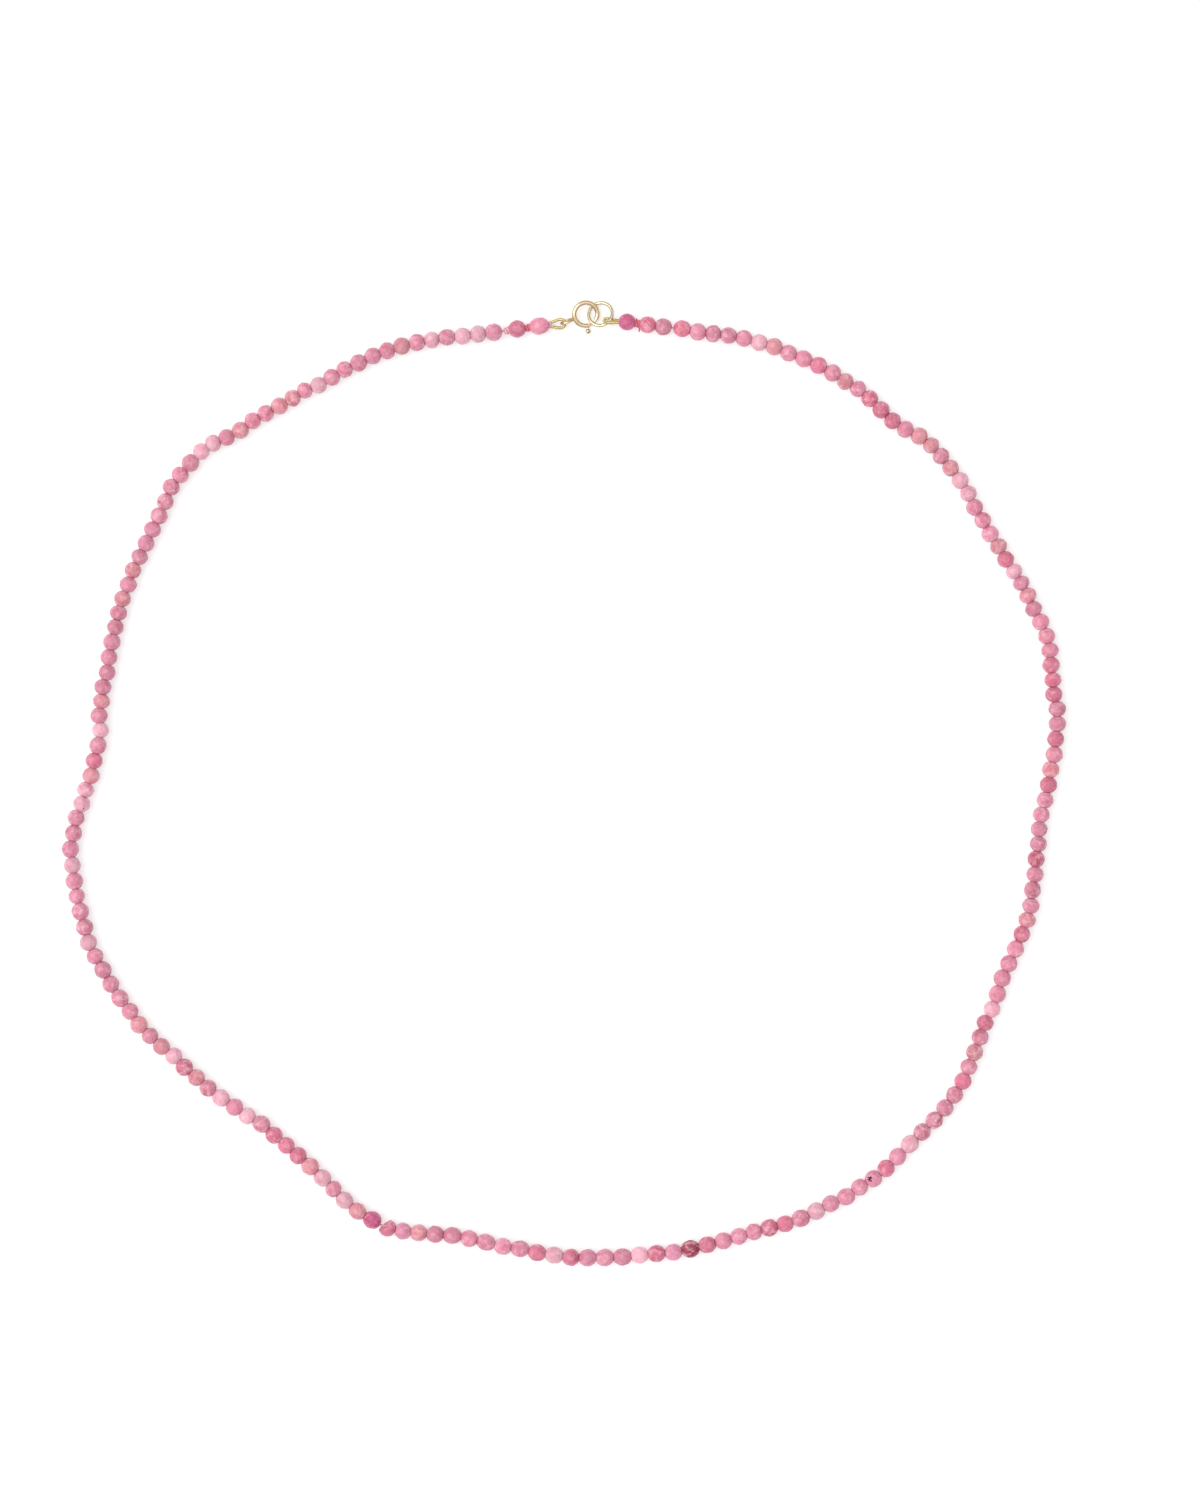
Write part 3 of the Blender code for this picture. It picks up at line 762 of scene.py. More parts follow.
@dataclass(frozen=True)
class StoneCut:
    """A faceted round bead, ground out of a block one plane at a time, in millimetres."""

    facet_height: float = 1.25
    half_length: float = 1.18
    sides: int = 10
    rows: tuple[float, ...] = (13.0, 38.0, 63.0)
    hole_radius: float = 0.27
    hole_depth: float = 0.7
    inset: float = 0.02
    end_cosine: float = 0.999
    grip: float = 1e-5
    unevenness: float = 0.004
    wander: float = 0.0
    chip: float = 0.0
    chip_side: Spot = (0.82, -0.52, 0.24)
    seed: int = 3

    def planes(self) -> list[tuple[Vector, float]]:
        """The grinding planes.

        Returns:
            The outward direction and the distance from the middle of each plane.
        """
        drift = random.Random(self.seed)
        found = [(Vector((side, 0, 0)), self.half_length) for side in (-1.0, 1.0)]
        for end in (-1, 1):
            for row, latitude in enumerate(self.rows):
                shift = 0.5 * ((row + (end > 0)) % 2)
                for k in range(self.sides):
                    slope = math.radians(latitude + drift.uniform(-1, 1) * self.wander)
                    turn = math.tau * (k + shift) / self.sides
                    turn += drift.uniform(-1, 1) * math.radians(self.wander)
                    reach = math.cos(slope)
                    way = Vector((end * math.sin(slope), reach * math.cos(turn), reach * math.sin(turn)))
                    share = 1 + drift.uniform(-1, 1) * self.wander * self.unevenness
                    found.append((way, self.facet_height * share))
        if self.chip:
            found.append((Vector(self.chip_side).normalized(), self.chip))
        return found

    def build(self, name: str) -> Piece:
        """Grind the bead, drill it from both ends and return it at its real size."""
        shape = bmesh.new()
        bmesh.ops.create_cube(shape, size=4 * self.facet_height)
        for way, distance in self.planes():
            parts = [*shape.verts, *shape.edges, *shape.faces]
            plane = {"plane_co": way * distance, "plane_no": way, "clear_outer": True, "dist": self.grip}
            made = bmesh.ops.bisect_plane(shape, geom=parts, **plane)["geom_cut"]
            rim = [item for item in made if isinstance(item, bmesh.types.BMEdge)]
            if rim:
                bmesh.ops.edgeloop_fill(shape, edges=rim)
        self.drill(shape)
        bmesh.ops.recalc_face_normals(shape, faces=shape.faces)
        bmesh.ops.scale(shape, vec=(MM, MM, MM), verts=shape.verts)
        return bpy.data.objects.new(name, to_mesh(name, shape))

    def drill(self, shape: bmesh.types.BMesh) -> None:
        """Sink the thread's hole into both ends."""
        for side in (-1, 1):
            shape.faces.ensure_lookup_table()
            ends = [face for face in shape.faces if face.normal.x * side > self.end_cosine]
            if not ends:
                continue
            bmesh.ops.inset_individual(shape, faces=ends, thickness=self.inset)
            for vertex in ends[0].verts:
                share = self.hole_radius / math.hypot(vertex.co.y, vertex.co.z)
                vertex.co.y *= share
                vertex.co.z *= share
            bottom = bmesh.ops.extrude_discrete_faces(shape, faces=ends[:1])["faces"]
            for vertex in bottom[0].verts:
                vertex.co.x -= side * self.hole_depth


@dataclass(frozen=True)
class NotedBead:
    """A bead that differs from the run of the strand, found by its place on the surface."""

    place: Place
    shade: Shade
    cut: Cut | None = None
    fleck: float = 0.0
    fleck_aside: Place = (0.0, 0.0)
    tone: float = 1.0


@dataclass
class BeadPlace:
    """One bead on the strand, as the strung tree takes it."""

    station: float
    size: Spot
    turn: Spot
    tint: Colour
    cut: Cut
    clouding: float = 1.0
    aside: float = 0.0
    lift: float = 0.0
    fleck_place: Spot = (0.0, 0.0, 0.0)
    fleck_size: float = 0.0


@dataclass
class BeadString:
    """The cut stones in the order in which they are strung."""

    route: Route = field(default_factory=Route)
    bead_length: float = 0.00238
    end_bead_length: float = 0.0029
    knot_length: float = 0.00072
    thread_showing: float = 0.0004
    length_spread: float = 0.045
    length_limits: Place = (0.9, 1.1)
    tones: Place = (0.92, 1.09)
    widths: Place = (0.98, 1.035)
    flatness: Place = (0.98, 1.0)
    tilts: Place = (2.0, 4.0)
    cloudings: Place = (0.35, 1.0)
    crowding: float = 1.03
    side_play: float = 0.00008
    fleck_height: float = 0.0022
    seed: int = 41
    stretches: tuple[float, ...] = (1.03, 0.98, 0.95, 0.98, 1.06, 1.08, 1.03, 1.0, 0.95, 0.95, 1.02)
    shades: tuple[Shade, ...] = (Shade.ROSE, Shade.DEEP_ROSE, Shade.PALE, Shade.SALMON, Shade.LILAC)
    shares: tuple[float, ...] = (0.45, 0.18, 0.12, 0.15, 0.1)
    noted: tuple[NotedBead, ...] = (
        NotedBead((0.00957, 0.06997), Shade.MAGENTA),
        NotedBead((0.01264, 0.06966), Shade.DEEP_ROSE, tone=1.08),
        NotedBead((0.01499, 0.06938), Shade.ROSE, tone=0.9),
        NotedBead((0.01775, 0.0691), Shade.DEEP_ROSE, tone=1.12),
        NotedBead((-0.0038, 0.0694), Shade.ROSE, tone=1.12),
        NotedBead((-0.00705, 0.06897), Shade.DEEP_ROSE, tone=0.95),
        NotedBead((-0.0104, 0.0686), Shade.LILAC, tone=0.95),
        NotedBead((0.04745, -0.0597), Shade.LILAC, fleck=0.0007, fleck_aside=(-0.0004, -0.0001)),
        NotedBead((0.01935, -0.0707), Shade.RASPBERRY, tone=0.8),
        NotedBead((0.0116, -0.0718), Shade.PALE, tone=1.15),
        NotedBead((-0.0738, -0.0034), Shade.PALE, fleck=0.00045, fleck_aside=(0.0004, -0.0005)),
        NotedBead((-0.0260, -0.0677), Shade.DEEP_ROSE, cut=Cut.CHIPPED),
        NotedBead((-0.0288, -0.0664), Shade.MAGENTA),
    )

    def __post_init__(self) -> None:
        """Lay the string out along the route."""
        self.knots: list[float] = []
        self.middle_number = 0
        self.spans = self.lay_out(float(self.route.run()[-1]))

    def lay_out(self, length: float) -> list[Place]:
        """Work out where each bead sits.

        Args:
            length: The route's whole length.

        Returns:
            The station of each bead's middle and the length that it takes.
        """
        fixed = 3 * self.knot_length + 2 * self.thread_showing + self.end_bead_length
        count = int((length - fixed) / self.bead_length)
        pitch = (length - fixed) / count
        self.middle_number = count // 2
        gaps = {
            1: self.knot_length,
            3: self.thread_showing,
            count - 1: self.knot_length + self.thread_showing,
            count: self.knot_length,
        }
        lengths = self.bead_lengths(count, pitch)
        spans = []
        place = 0.0
        for number in range(1, count + 2):
            span = lengths[number - 1] if number <= count else self.end_bead_length
            spans.append((place + span / 2, span))
            place += span + gaps.get(number, 0.0)
            if number in gaps and number != 3:
                self.knots.append(place - self.knot_length / 2)
        return spans

    def bead_lengths(self, count: int, pitch: float) -> list[float]:
        """Lengths that follow the stretches along the route and differ a little from bead to bead.

        Args:
            count: How many beads there are.
            pitch: The mean length of a bead.

        Returns:
            The length of each bead, with each half as long as even beads.
        """
        draw = random.Random(self.seed + 1)
        tenths = np.linspace(0.0, 1.0, len(self.stretches))
        low, high = self.length_limits
        found: list[float] = []
        for first, last in ((0, self.middle_number), (self.middle_number, count)):
            shares = []
            for number in range(first + 1, last + 1):
                stretch = float(np.interp(number / (count + 1), tenths, self.stretches))
                shares.append(stretch * min(high, max(low, draw.gauss(1, self.length_spread))))
            found += [share * pitch * len(shares) / sum(shares) for share in shares]
        return found

    def stones(self) -> tuple[bpy.types.Collection, list[np.ndarray]]:
        """Cut one stone of each kind.

        Returns:
            The collection of the stones and the corners of each.
        """
        cuts = {
            Cut.EVEN: StoneCut(wander=0.6, seed=3),
            Cut.HAND: StoneCut(wander=2.2, seed=8),
            Cut.LOOSE: StoneCut(wander=3.4, rows=(14.0, 40.0, 64.0), seed=15),
            Cut.CHIPPED: StoneCut(wander=2.0, chip=0.42, seed=21),
        }
        holder = bpy.data.collections.new("cut_stones")
        corners = []
        for cut, stone in cuts.items():
            made = stone.build(f"stone_{cut.value}_{cut.name.lower()}")
            holder.objects.link(made)
            corners.append(np.array([vertex.co for vertex in made.data.vertices]))
        return holder, corners

    def bead_places(self, corners: list[np.ndarray]) -> list[BeadPlace]:
        """Choose each bead's cut, turn and shade, and rest it on the surface.

        Args:
            corners: The corners of each kind of stone.

        Returns:
            The beads in order.
        """
        draw = random.Random(self.seed)
        common = [Cut.EVEN, Cut.HAND, Cut.LOOSE]
        beads = []
        for station, span in self.spans:
            shade = draw.choices(self.shades, self.shares)[0]
            tone = draw.uniform(*self.tones)
            width = draw.uniform(*self.widths)
            size = (self.crowding * span / self.bead_length, width, width * draw.uniform(*self.flatness))
            turn = (draw.uniform(0, math.tau), *(math.radians(draw.gauss(0, tilt)) for tilt in self.tilts))
            bead = BeadPlace(station, size, turn, toned(shade.value, tone), draw.choice(common))
            bead.aside = draw.gauss(0, self.side_play)
            bead.clouding = draw.uniform(*self.cloudings)
            beads.append(bead)
        self.note(beads)
        for bead in beads:
            turned = Euler((bead.turn[0], bead.turn[1], 0.0)).to_matrix()
            points = corners[bead.cut.value] * np.array(bead.size) @ np.array(turned).T
            bead.lift = -float(points[:, 2].min())
        return beads

    def note(self, beads: list[BeadPlace]) -> None:
        """Give the noted beads their own look."""
        spots = [self.route.at(bead.station, 0.0) for bead in beads]
        for noted in self.noted:
            target = Vector((*noted.place, 0.0))
            number = min(range(len(spots)), key=lambda k: (spots[k] - target).length)
            bead = beads[number]
            bead.tint = toned(noted.shade.value, noted.tone)
            if noted.cut is not None:
                bead.cut = noted.cut
                bead.turn = (0.0, 0.0, 0.0)
            if noted.fleck:
                x, y = (spots[number][axis] + noted.fleck_aside[axis] for axis in (0, 1))
                bead.fleck_place = (x, y, self.fleck_height)
                bead.fleck_size = noted.fleck

    def point_mesh(self, name: str, beads: list[BeadPlace]) -> Mesh:
        """A mesh with one point for each bead, which carries what the tree reads."""
        mesh = bpy.data.meshes.new(name)
        mesh.from_pydata([(0.0, 0.0, 0.0)] * len(beads), [], [])
        for label in ("station", "aside", "lift", "clouding", "fleck_size"):
            values = [getattr(bead, label) for bead in beads]
            mesh.attributes.new(label, "FLOAT", "POINT").data.foreach_set("value", values)
        cuts = [bead.cut.value for bead in beads]
        mesh.attributes.new("cut", "INT", "POINT").data.foreach_set("value", cuts)
        rows = {"turn": "vector", "size": "vector", "fleck_place": "vector", "tint": "color"}
        for label, item in rows.items():
            kind = "FLOAT_COLOR" if item == "color" else "FLOAT_VECTOR"
            values = [value for bead in beads for value in getattr(bead, label)]
            mesh.attributes.new(label, kind, "POINT").data.foreach_set(item, values)
        return mesh

    def build(self, trees: Trees, palette: Palette) -> None:
        """String the two halves of the strand."""
        holder, corners = self.stones()
        route = self.route.curve_object()
        beads = self.bead_places(corners)
        halves = {
            "beads_right": (beads[: self.middle_number], "bead_string_right"),
            "beads_left": (beads[self.middle_number :], "bead_string_left"),
        }
        values = {"Route": route, "Stones": holder, "Material": palette.stone}
        for name, (half, node) in halves.items():
            piece = trees.strung.grow(name, self.point_mesh(name, half), values)
            seat(piece, Bodies.NECKLACE, [node])
        for helper in (route, *holder.objects):
            bpy.data.objects.remove(helper)
        bpy.data.collections.remove(holder)


def toned(tint: Colour, tone: float) -> Colour:
    """A colour made lighter or darker by a factor."""
    return (*(min(1.0, value * tone) for value in tint[:3]), 1.0)


@dataclass
class Silk:
    """The thread through the whole strand, its knots, the collar at its left end and two stray ends."""

    string: BeadString
    thread_radius: float = 0.00017
    knot_radius: float = 0.0004
    collar_radius: float = 0.00026
    knot_half_length: float = 0.00026
    knot_strand: float = 0.00017
    knot_turns: int = 3
    knot_steps: int = 120
    knot_swell: float = 0.16
    knot_ruffle: float = 0.12
    knot_lag: float = 0.4
    look_back: float = 0.0002
    sides: int = 10
    spacing: float = 0.0012
    lead: float = 0.00015
    tail_radius: float = 0.00012
    tail_sides: int = 8
    tail_bow: Spot = (0.00012, 0.00004, 0.0002)
    tail_shares: tuple[float, ...] = (0.2, 0.4, 0.6, 0.8, 0.92, 0.97, 1.0)
    tail_widths: tuple[float, ...] = (1.0, 1.0, 0.98, 0.92, 0.85, 0.65, 0.25)
    tails: tuple[tuple[str, Spot], ...] = (
        ("silk_tail_long", (0.0003, -0.00118, -0.0004)),
        ("silk_tail_short", (-0.0002, 0.00072, 0.0001)),
    )

    def build(self, trees: Trees, palette: Palette) -> None:
        """Make the thread, the knots and the stray ends."""
        route = self.string.route
        length = float(route.run()[-1])
        steps = round(length / self.spacing)
        points = [route.at(length * k / steps, route.height) for k in range(steps + 1)]
        points.insert(0, points[0] + (points[0] - points[1]).normalized() * self.lead)
        points.append(points[-1] + (points[-1] - points[-2]).normalized() * self.lead)
        thread = trees.line("silk_thread", points, self.thread_radius, self.sides, palette.silk)
        seat(thread, Bodies.NECKLACE)
        first, second, third = self.string.knots
        knots = (
            ("silk_knot_1", first, self.knot_radius, palette.red_silk),
            ("silk_knot_2", second, self.knot_radius, palette.silk),
            ("silk_knot_3", third, self.knot_radius, palette.red_silk),
            ("silk_collar", length, self.collar_radius, palette.silk),
        )
        for name, station, radius, dye in knots:
            turns = self.knot_points(station, radius)
            knot = trees.line(name, turns, self.knot_strand, self.sides, dye, closed=True)
            seat(knot, Bodies.NECKLACE)
        self.build_tails(trees, palette)

    def knot_points(self, station: float, radius: float) -> list[Vector]:
        """Centre line of a knot pulled tight: turns round the string that cross one another."""
        route = self.string.route
        centre = route.at(station, route.height)
        along = (centre - route.at(station - self.look_back, route.height)).normalized()
        across = UP.cross(along)
        found = []
        for k in range(self.knot_steps):
            t = math.tau * k / self.knot_steps
            turn = self.knot_turns * t
            reach = radius * (1 + self.knot_swell * math.cos(2 * t) + self.knot_ruffle * math.sin(5 * t))
            forward = self.knot_half_length * math.sin(2 * t + self.knot_lag)
            around = across * math.cos(turn) + UP * math.sin(turn)
            found.append(centre + around * reach + along * forward)
        return found

    def build_tails(self, trees: Trees, palette: Palette) -> None:
        """Two short cut ends of the thread that stand off the first knot."""
        root = self.string.route.at(self.string.knots[0], self.string.route.height)
        bow = Vector(self.tail_bow)
        for name, end in self.tails:
            points = [root + Vector(end) * t + bow * math.sin(math.pi * t) for t in self.tail_shares]
            tail = (self.tail_radius, self.tail_sides, palette.red_silk)
            seat(trees.line(name, points, *tail, widths=self.tail_widths), Bodies.NECKLACE)


@dataclass(frozen=True)
class TiltedRing:
    """The frame of a ring whose plane rises by two slopes."""

    centre: Spot
    slope_x: float
    slope_y: float

    def matrix(self) -> Matrix:
        """The ring's frame, with its normal as Z."""
        normal = Vector((-self.slope_x, -self.slope_y, 1)).normalized()
        across = Vector((1, 0, self.slope_x)).normalized()
        turn = Matrix((across, normal.cross(across), normal)).transposed().to_4x4()
        return Matrix.Translation(self.centre) @ turn


def polar(radius: float, degrees: float, height: float = 0.0) -> Vector:
    """A point at this radius, angle and height in a ring's frame."""
    turn = math.radians(degrees)
    return Vector((radius * math.cos(turn), radius * math.sin(turn), height))


def arc(radius: float, start: float, end: float, steps: int) -> list[Vector]:
    """Points along an arc in a ring's frame, in degrees."""
    return [polar(radius, start + (end - start) * k / steps) for k in range(steps + 1)]


def circle(radius: float, steps: int) -> list[Vector]:
    """Points round a closed circle in a ring's frame."""
    return [polar(radius, 360 * k / steps) for k in range(steps)]


def ball(name: str, centre: Vector, radius: float, segments: int = 24) -> Piece:
    """A round ball at a place."""
    shape = bmesh.new()
    size = {"u_segments": segments, "v_segments": segments // 2, "radius": radius}
    bmesh.ops.create_uvsphere(shape, **size, matrix=Matrix.Translation(centre))
    return new_object(name, to_mesh(name, shape))


def carve(piece: Piece, steps: Sequence[tuple[str, Piece]]) -> Piece:
    """Join or cut a piece with others by exact Booleans, and drop the others.

    Args:
        piece: The piece that is shaped.
        steps: The operation and the other shape of each step.

    Returns:
        The piece as a plain mesh.
    """
    for operation, other in steps:
        modifier = piece.modifiers.new(other.name, "BOOLEAN")
        modifier.operation = operation
        modifier.solver = "EXACT"
        modifier.object = other
        plain(piece)
        bpy.data.objects.remove(other)
    return piece


def finish_metal(piece: Piece, metal: Material, place: Matrix, edge: float = 0.0) -> None:
    """Weld a metal piece, round its edges, smooth it and put it in place.

    Args:
        piece: The piece, flat in its ring's frame.
        metal: Its material.
        place: The ring's frame.
        edge: How far sharp edges are rounded, or nothing.
    """
    shape = bmesh.new()
    shape.from_mesh(piece.data)
    bmesh.ops.remove_doubles(shape, verts=shape.verts, dist=WELD_DISTANCE)
    bmesh.ops.recalc_face_normals(shape, faces=shape.faces)
    shape.to_mesh(piece.data)
    shape.free()
    if edge:
        bevel = piece.modifiers.new("Rounded edges", "BEVEL")
        bevel.width = edge
        bevel.segments = 2
        bevel.limit_method = "ANGLE"
        bevel.angle_limit = BEVEL_ANGLE
        plain(piece)
    piece.data.materials.clear()
    piece.data.materials.append(metal)
    piece.data.transform(place)
    piece.data.shade_smooth()
    piece.data.set_sharp_from_angle(angle=SHARP_ANGLE)


@dataclass
class SpringRing:
    """The clasp: a hollow C case with its slot and eye, and the gate that slides in it."""

    frame: TiltedRing = TiltedRing((0.00334, 0.07127, 0.0008791), -0.15, 0.265425)
    radius: float = 0.00178
    tube_radius: float = 0.00034
    bore_radius: float = 0.00024
    case_start: float = 336.0
    case_end: float = 287.0
    eye_angle: float = 202.0
    eye_reach: float = 0.00309
    eye_radius: float = 0.00086
    eye_wire: float = 0.00019
    gate_radius: float = 0.00019
    gate_tip: float = 339.0
    gate_tail: float = 275.0
    gate_travel: float = 54.0
    stem_angle: float = 279.0
    stem_radius: float = 0.00009
    stem_lift: float = 18.0
    knob_radius: float = 0.00039
    knob_reach: float = 0.00087
    hole_radius: float = 0.00013
    slot_half: float = 0.00014
    slot_near: float = 0.00012
    slot_far: float = 0.0006
    slot_steps: int = 24
    solder_radius: float = 0.00025
    solder_gap: float = 0.00002
    edge: float = 0.00003
    ring_steps: int = 96
    eye_steps: int = 56
    gate_steps: int = 40
    tip_width: float = 0.2
    hole_reach: float = 1.2
    tube_sides: int = 32
    bore_sides: int = 24
    wire_sides: int = 20
    stem_sides: int = 16

    def build_case(self, trees: Trees, palette: Palette) -> None:
        """Make the case: tube, eye and solder joined, then bored and slotted."""
        tube = arc(self.radius, self.case_start, self.case_end + 360, self.ring_steps)
        case = trees.line("clasp_case_gold", tube, self.tube_radius, self.tube_sides)
        turned = Matrix.Rotation(math.radians(self.eye_angle), 4, "Z")
        eye_place = turned @ Matrix.Translation((self.eye_reach, 0, 0))
        level = circle(self.eye_radius, self.eye_steps)
        upright = [eye_place @ Vector((point.x, 0, point.y)) for point in level]
        eye = trees.line("eye", upright, self.eye_wire, self.wire_sides, closed=True)
        joint = polar(self.radius + self.tube_radius + self.solder_gap, self.eye_angle)
        solder = ball("solder", joint, self.solder_radius)
        ring = circle(self.radius, self.ring_steps)
        bore = trees.line("bore", ring, self.bore_radius, self.bore_sides, closed=True)
        slot = self.slot_cutter()
        carve(case, (("UNION", solder), ("UNION", eye), ("DIFFERENCE", bore), ("DIFFERENCE", slot)))
        finish_metal(case, palette.clasp, self.frame.matrix(), edge=self.edge)
        seat(case, Bodies.NECKLACE, ["clasp_case"])

    def slot_cutter(self) -> Piece:
        """An arc of rectangular section that opens the outer wall for the stem."""
        half = math.degrees(self.slot_half / self.radius)
        start, end = self.stem_angle - self.gate_travel - half, self.stem_angle + half
        lift = math.radians(self.stem_lift)
        out = Vector((math.cos(lift), 0, math.sin(lift)))
        side = Vector((-math.sin(lift), 0, math.cos(lift)))
        middle = Vector((self.radius, 0, 0))
        reaches = ((self.slot_near, -1), (self.slot_far, -1), (self.slot_far, 1), (self.slot_near, 1))
        shape = bmesh.new()
        corners = [middle + out * reach + side * way * self.slot_half for reach, way in reaches]
        section = shape.faces.new([shape.verts.new(corner) for corner in corners])
        bmesh.ops.rotate(shape, verts=shape.verts, matrix=Matrix.Rotation(math.radians(start), 3, "Z"))
        sweep = {"axis": UP, "cent": (0, 0, 0), "angle": math.radians(end - start), "steps": self.slot_steps}
        bmesh.ops.spin(shape, geom=[section, *section.edges, *section.verts], **sweep)
        bmesh.ops.recalc_face_normals(shape, faces=shape.faces)
        return new_object("slot", to_mesh("slot", shape))

    def build_gate(self, trees: Trees, palette: Palette) -> None:
        """Make the sliding rod with its rounded tip, its stem and its drilled knob."""
        tip_share = math.degrees(self.gate_radius / self.radius)
        points = arc(self.radius, self.gate_tail, self.gate_tip, self.gate_steps)
        widths = []
        for k in range(self.gate_steps + 1):
            angle = self.gate_tail + (self.gate_tip - self.gate_tail) * k / self.gate_steps
            into_tip = max(0.0, 1 - (self.gate_tip - angle) / tip_share)
            widths.append(math.sqrt(max(self.tip_width**2, 1 - into_tip**2)))
        rod = trees.line("clasp_gate_gold", points, self.gate_radius, self.wire_sides, widths=widths)
        lift, root = math.radians(self.stem_lift), polar(self.radius, self.stem_angle)
        out = self.radius + self.knob_reach * math.cos(lift)
        centre = polar(out, self.stem_angle, self.knob_reach * math.sin(lift))
        run = [root, root.lerp(centre, 0.5), centre]
        stem = trees.line("stem", run, self.stem_radius, self.stem_sides)
        knob = ball("knob", centre, self.knob_radius, self.tube_sides)
        top = centre + UP * (self.knob_radius * self.hole_reach)
        hole = trees.line("hole", [top, (top + centre) / 2, centre], self.hole_radius, self.stem_sides)
        carve(rod, (("UNION", stem), ("UNION", knob), ("DIFFERENCE", hole)))
        finish_metal(rod, palette.clasp, self.frame.matrix())
        seat(rod, Bodies.GATE, ["clasp_gate"])


@dataclass
class JumpRing:
    """The closed ring that the clasp hooks into, with its soldered seam."""

    frame: TiltedRing = TiltedRing((0.005565, 0.07127, 0.0009735), 0.22, -0.265425)
    radius: float = 0.001835
    wire: float = 0.00024
    seam_angle: float = 62.0
    seam_spread: float = 5.0
    seam_swell: float = 0.05
    steps: int = 96
    sides: int = 20

    def build(self, trees: Trees, palette: Palette) -> None:
        """Make the ring, a touch fuller at its seam."""
        away = [abs((360 * k / self.steps - self.seam_angle + 180) % 360 - 180) for k in range(self.steps)]
        widths = [1 + self.seam_swell * math.exp(-((angle / self.seam_spread) ** 2)) for angle in away]
        points = circle(self.radius, self.steps)
        ring = trees.line("jump_ring_gold", points, self.wire, self.sides, closed=True, widths=widths)
        finish_metal(ring, palette.ring, self.frame.matrix())
        seat(ring, Bodies.NECKLACE, ["jump_ring"])


@dataclass
class GimpLoop:
    """A loop of fine coiled wire over the thread, round the wire that it holds."""

    side: str
    held: Spot
    held_wire: float
    length: float
    heading: float
    slack: float
    lean: float
    outer_radius: float = 0.00025
    wire_radius: float = 0.000042
    width: float = 0.00182
    root_gap: float = 0.00006
    tuck: float = 0.00008
    bead_height: float = 0.0011994
    arm_steps: int = 12
    bend_steps: int = 24
    turn_pitch: float = 2.04
    turn_steps: int = 12
    coil_sides: int = 6
    thread_sides: int = 10

    def centre_line(self) -> list[Vector]:
        """Points out from the end bead, round the held wire and back; lean turns the loop on edge."""
        held, heading = Vector(self.held), polar(1, self.heading)
        past_wire = self.outer_radius + self.held_wire / 2 + self.root_gap + self.slack
        base = held + heading * (self.length - past_wire)
        base.z = self.bead_height
        along = (held - base).normalized()
        level = UP.cross(along).normalized()
        turn = math.radians(self.lean)
        across = level * math.cos(turn) + along.cross(level) * math.sin(turn)
        bend = self.width / 2 - self.outer_radius
        root = self.outer_radius + self.root_gap / 2
        arm = self.length - bend
        outline = []
        for k in range(self.arm_steps):
            ease = (1 - math.cos(math.pi * k / self.arm_steps)) / 2
            run = (arm + self.tuck) * k / self.arm_steps - self.tuck
            outline.append((run, root + (bend - root) * ease))
        for k in range(self.bend_steps + 1):
            turn = math.pi / 2 - math.pi * k / self.bend_steps
            outline.append((arm + bend * math.cos(turn), bend * math.sin(turn)))
        outline += [(u, -v) for u, v in reversed(outline[: self.arm_steps])]
        return [base + along * u + across * v for u, v in outline]

    def build(self, trees: Trees, palette: Palette) -> None:
        """Wind the coil and lay the thread through it."""
        points = self.centre_line()
        run = sum((end - start).length for start, end in zip(points, points[1:]))
        turns = run / (self.wire_radius * self.turn_pitch)
        name = f"gimp_{self.side}_coil"
        values = {
            "Coil Radius": self.outer_radius - self.wire_radius,
            "Turns": turns,
            "Points": round(turns * self.turn_steps),
            "Radius": self.wire_radius,
            "Sides": self.coil_sides,
            "Material": palette.gimp,
        }
        coil = trees.coil.grow(name, polyline(name, points), values)
        seat(coil, Bodies.NECKLACE, [f"gimp_loop_{self.side}"])
        name = f"gimp_{self.side}_thread"
        core = self.outer_radius - self.wire_radius * 2
        seat(trees.line(name, points, core, self.thread_sides, palette.silk), Bodies.NECKLACE)


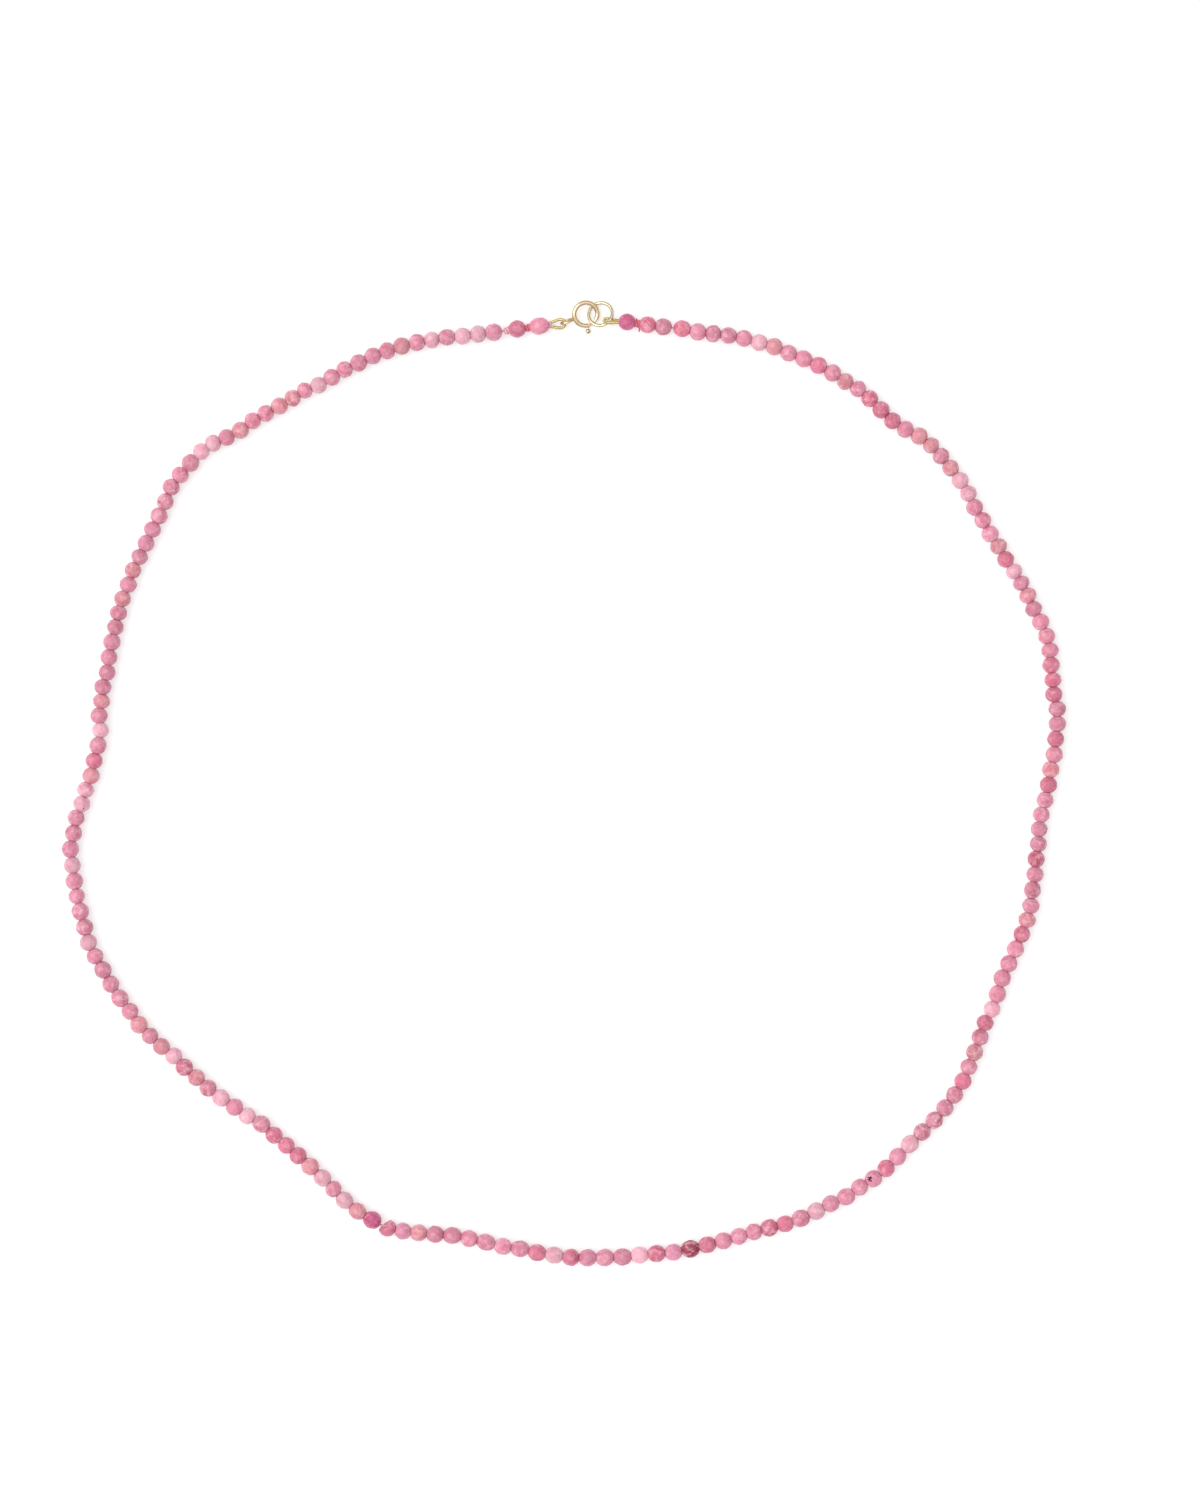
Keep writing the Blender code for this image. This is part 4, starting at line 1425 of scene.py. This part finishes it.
@dataclass
class Studio:
    """White board, one softbox, a pale room and the camera straight above."""

    aim: Place = (0.0055, 0.0050)
    frame_height: float = 0.228
    lens: float = 100.0
    sensor: float = 36.0
    look_height: float = 0.0012
    board: float = 3.0
    board_drop: float = 0.00001
    light_place: Spot = (-1.1, 0.1, 1.7)
    light_size: float = 1.8
    light_power: float = 27.5

    def build(self, palette: Palette) -> None:
        """Set up the board, the light, the surroundings and the camera."""
        self.build_board(palette)
        self.build_light()
        self.build_surroundings()
        self.build_camera()
        bpy.context.scene.view_settings.view_transform = "Standard"
        LOG.info("studio: board, softbox, room and camera")

    def build_board(self, palette: Palette) -> None:
        """The white board, just below the lowest facets."""
        shape = bmesh.new()
        place = Matrix.Translation((0, 0, -self.board_drop))
        bmesh.ops.create_grid(shape, x_segments=1, y_segments=1, size=self.board / 2, matrix=place)
        board = new_object("board", to_mesh("board", shape))
        board.data.materials.append(palette.surface)

    def build_light(self) -> None:
        """A square softbox at the left that faces the middle of the loop."""
        light = bpy.data.lights.new("left_softbox", "AREA")
        light.shape = "SQUARE"
        light.size = self.light_size
        light.energy = self.light_power
        lamp = new_object("left_softbox", light)
        lamp.location = self.light_place
        lamp.rotation_euler = (-Vector(self.light_place)).to_track_quat("-Z", "Y").to_euler()

    @staticmethod
    def build_surroundings() -> None:
        """A pale room, dimmer near the horizon and straight above, where the camera hangs."""
        world = bpy.data.worlds.new("Pale room")
        world.use_nodes = True
        bpy.context.scene.world = world
        wiring = Wiring(world.node_tree)
        background = world.node_tree.nodes["Background"]
        way = wiring.add("ShaderNodeTexCoord").outputs["Generated"]
        height = wiring.add("ShaderNodeSeparateXYZ", {"Vector": way}).outputs["Z"]
        ramp = wiring.add("ShaderNodeValToRGB", {0: height})
        stops = ((0.0, 0.24), (0.25, 0.2), (0.5, 0.6), (0.8, 0.97), (0.975, 1.18), (1.0, 0.6))
        elements = ramp.color_ramp.elements
        for position, value in stops[1:-1]:
            elements.new(position)
        for element, (position, value) in zip(elements, stops):
            element.position = position
            element.color = (value, value, value, 1.0)
        wiring.feed(ramp.outputs["Color"], background.inputs["Color"])

    def build_camera(self) -> None:
        """The camera straight above, with the photo's frame."""
        camera = bpy.data.cameras.new("camera")
        camera.lens = self.lens
        camera.sensor_width = self.sensor
        distance = self.frame_height * self.lens / self.sensor
        holder = new_object("camera", camera)
        holder.location = (*self.aim, distance + self.look_height)
        bpy.context.scene.camera = holder


def main() -> None:
    """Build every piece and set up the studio."""
    logging.basicConfig(level=logging.INFO, format="%(name)s: %(message)s")
    trees = Trees()
    palette = Palette()
    string = BeadString()
    string.build(trees, palette)
    Silk(string).build(trees, palette)
    standing = {"held_wire": 0.00048, "length": 0.0022, "heading": -4.0, "slack": 0.0004, "lean": 55.0}
    GimpLoop("right", (0.0069367, 0.070201, 0.001559), tuck=0.0002, **standing).build(trees, palette)
    lying = {"held_wire": 0.00038, "length": 0.0024, "heading": 187.0, "slack": 0.00004, "lean": 0.0}
    GimpLoop("left", (-0.0003376, 0.0698388, 0.0010509), **lying).build(trees, palette)
    JumpRing().build(trees, palette)
    clasp = SpringRing()
    clasp.build_case(trees, palette)
    clasp.build_gate(trees, palette)
    Studio().build(palette)


if __name__ == "__main__":
    main()
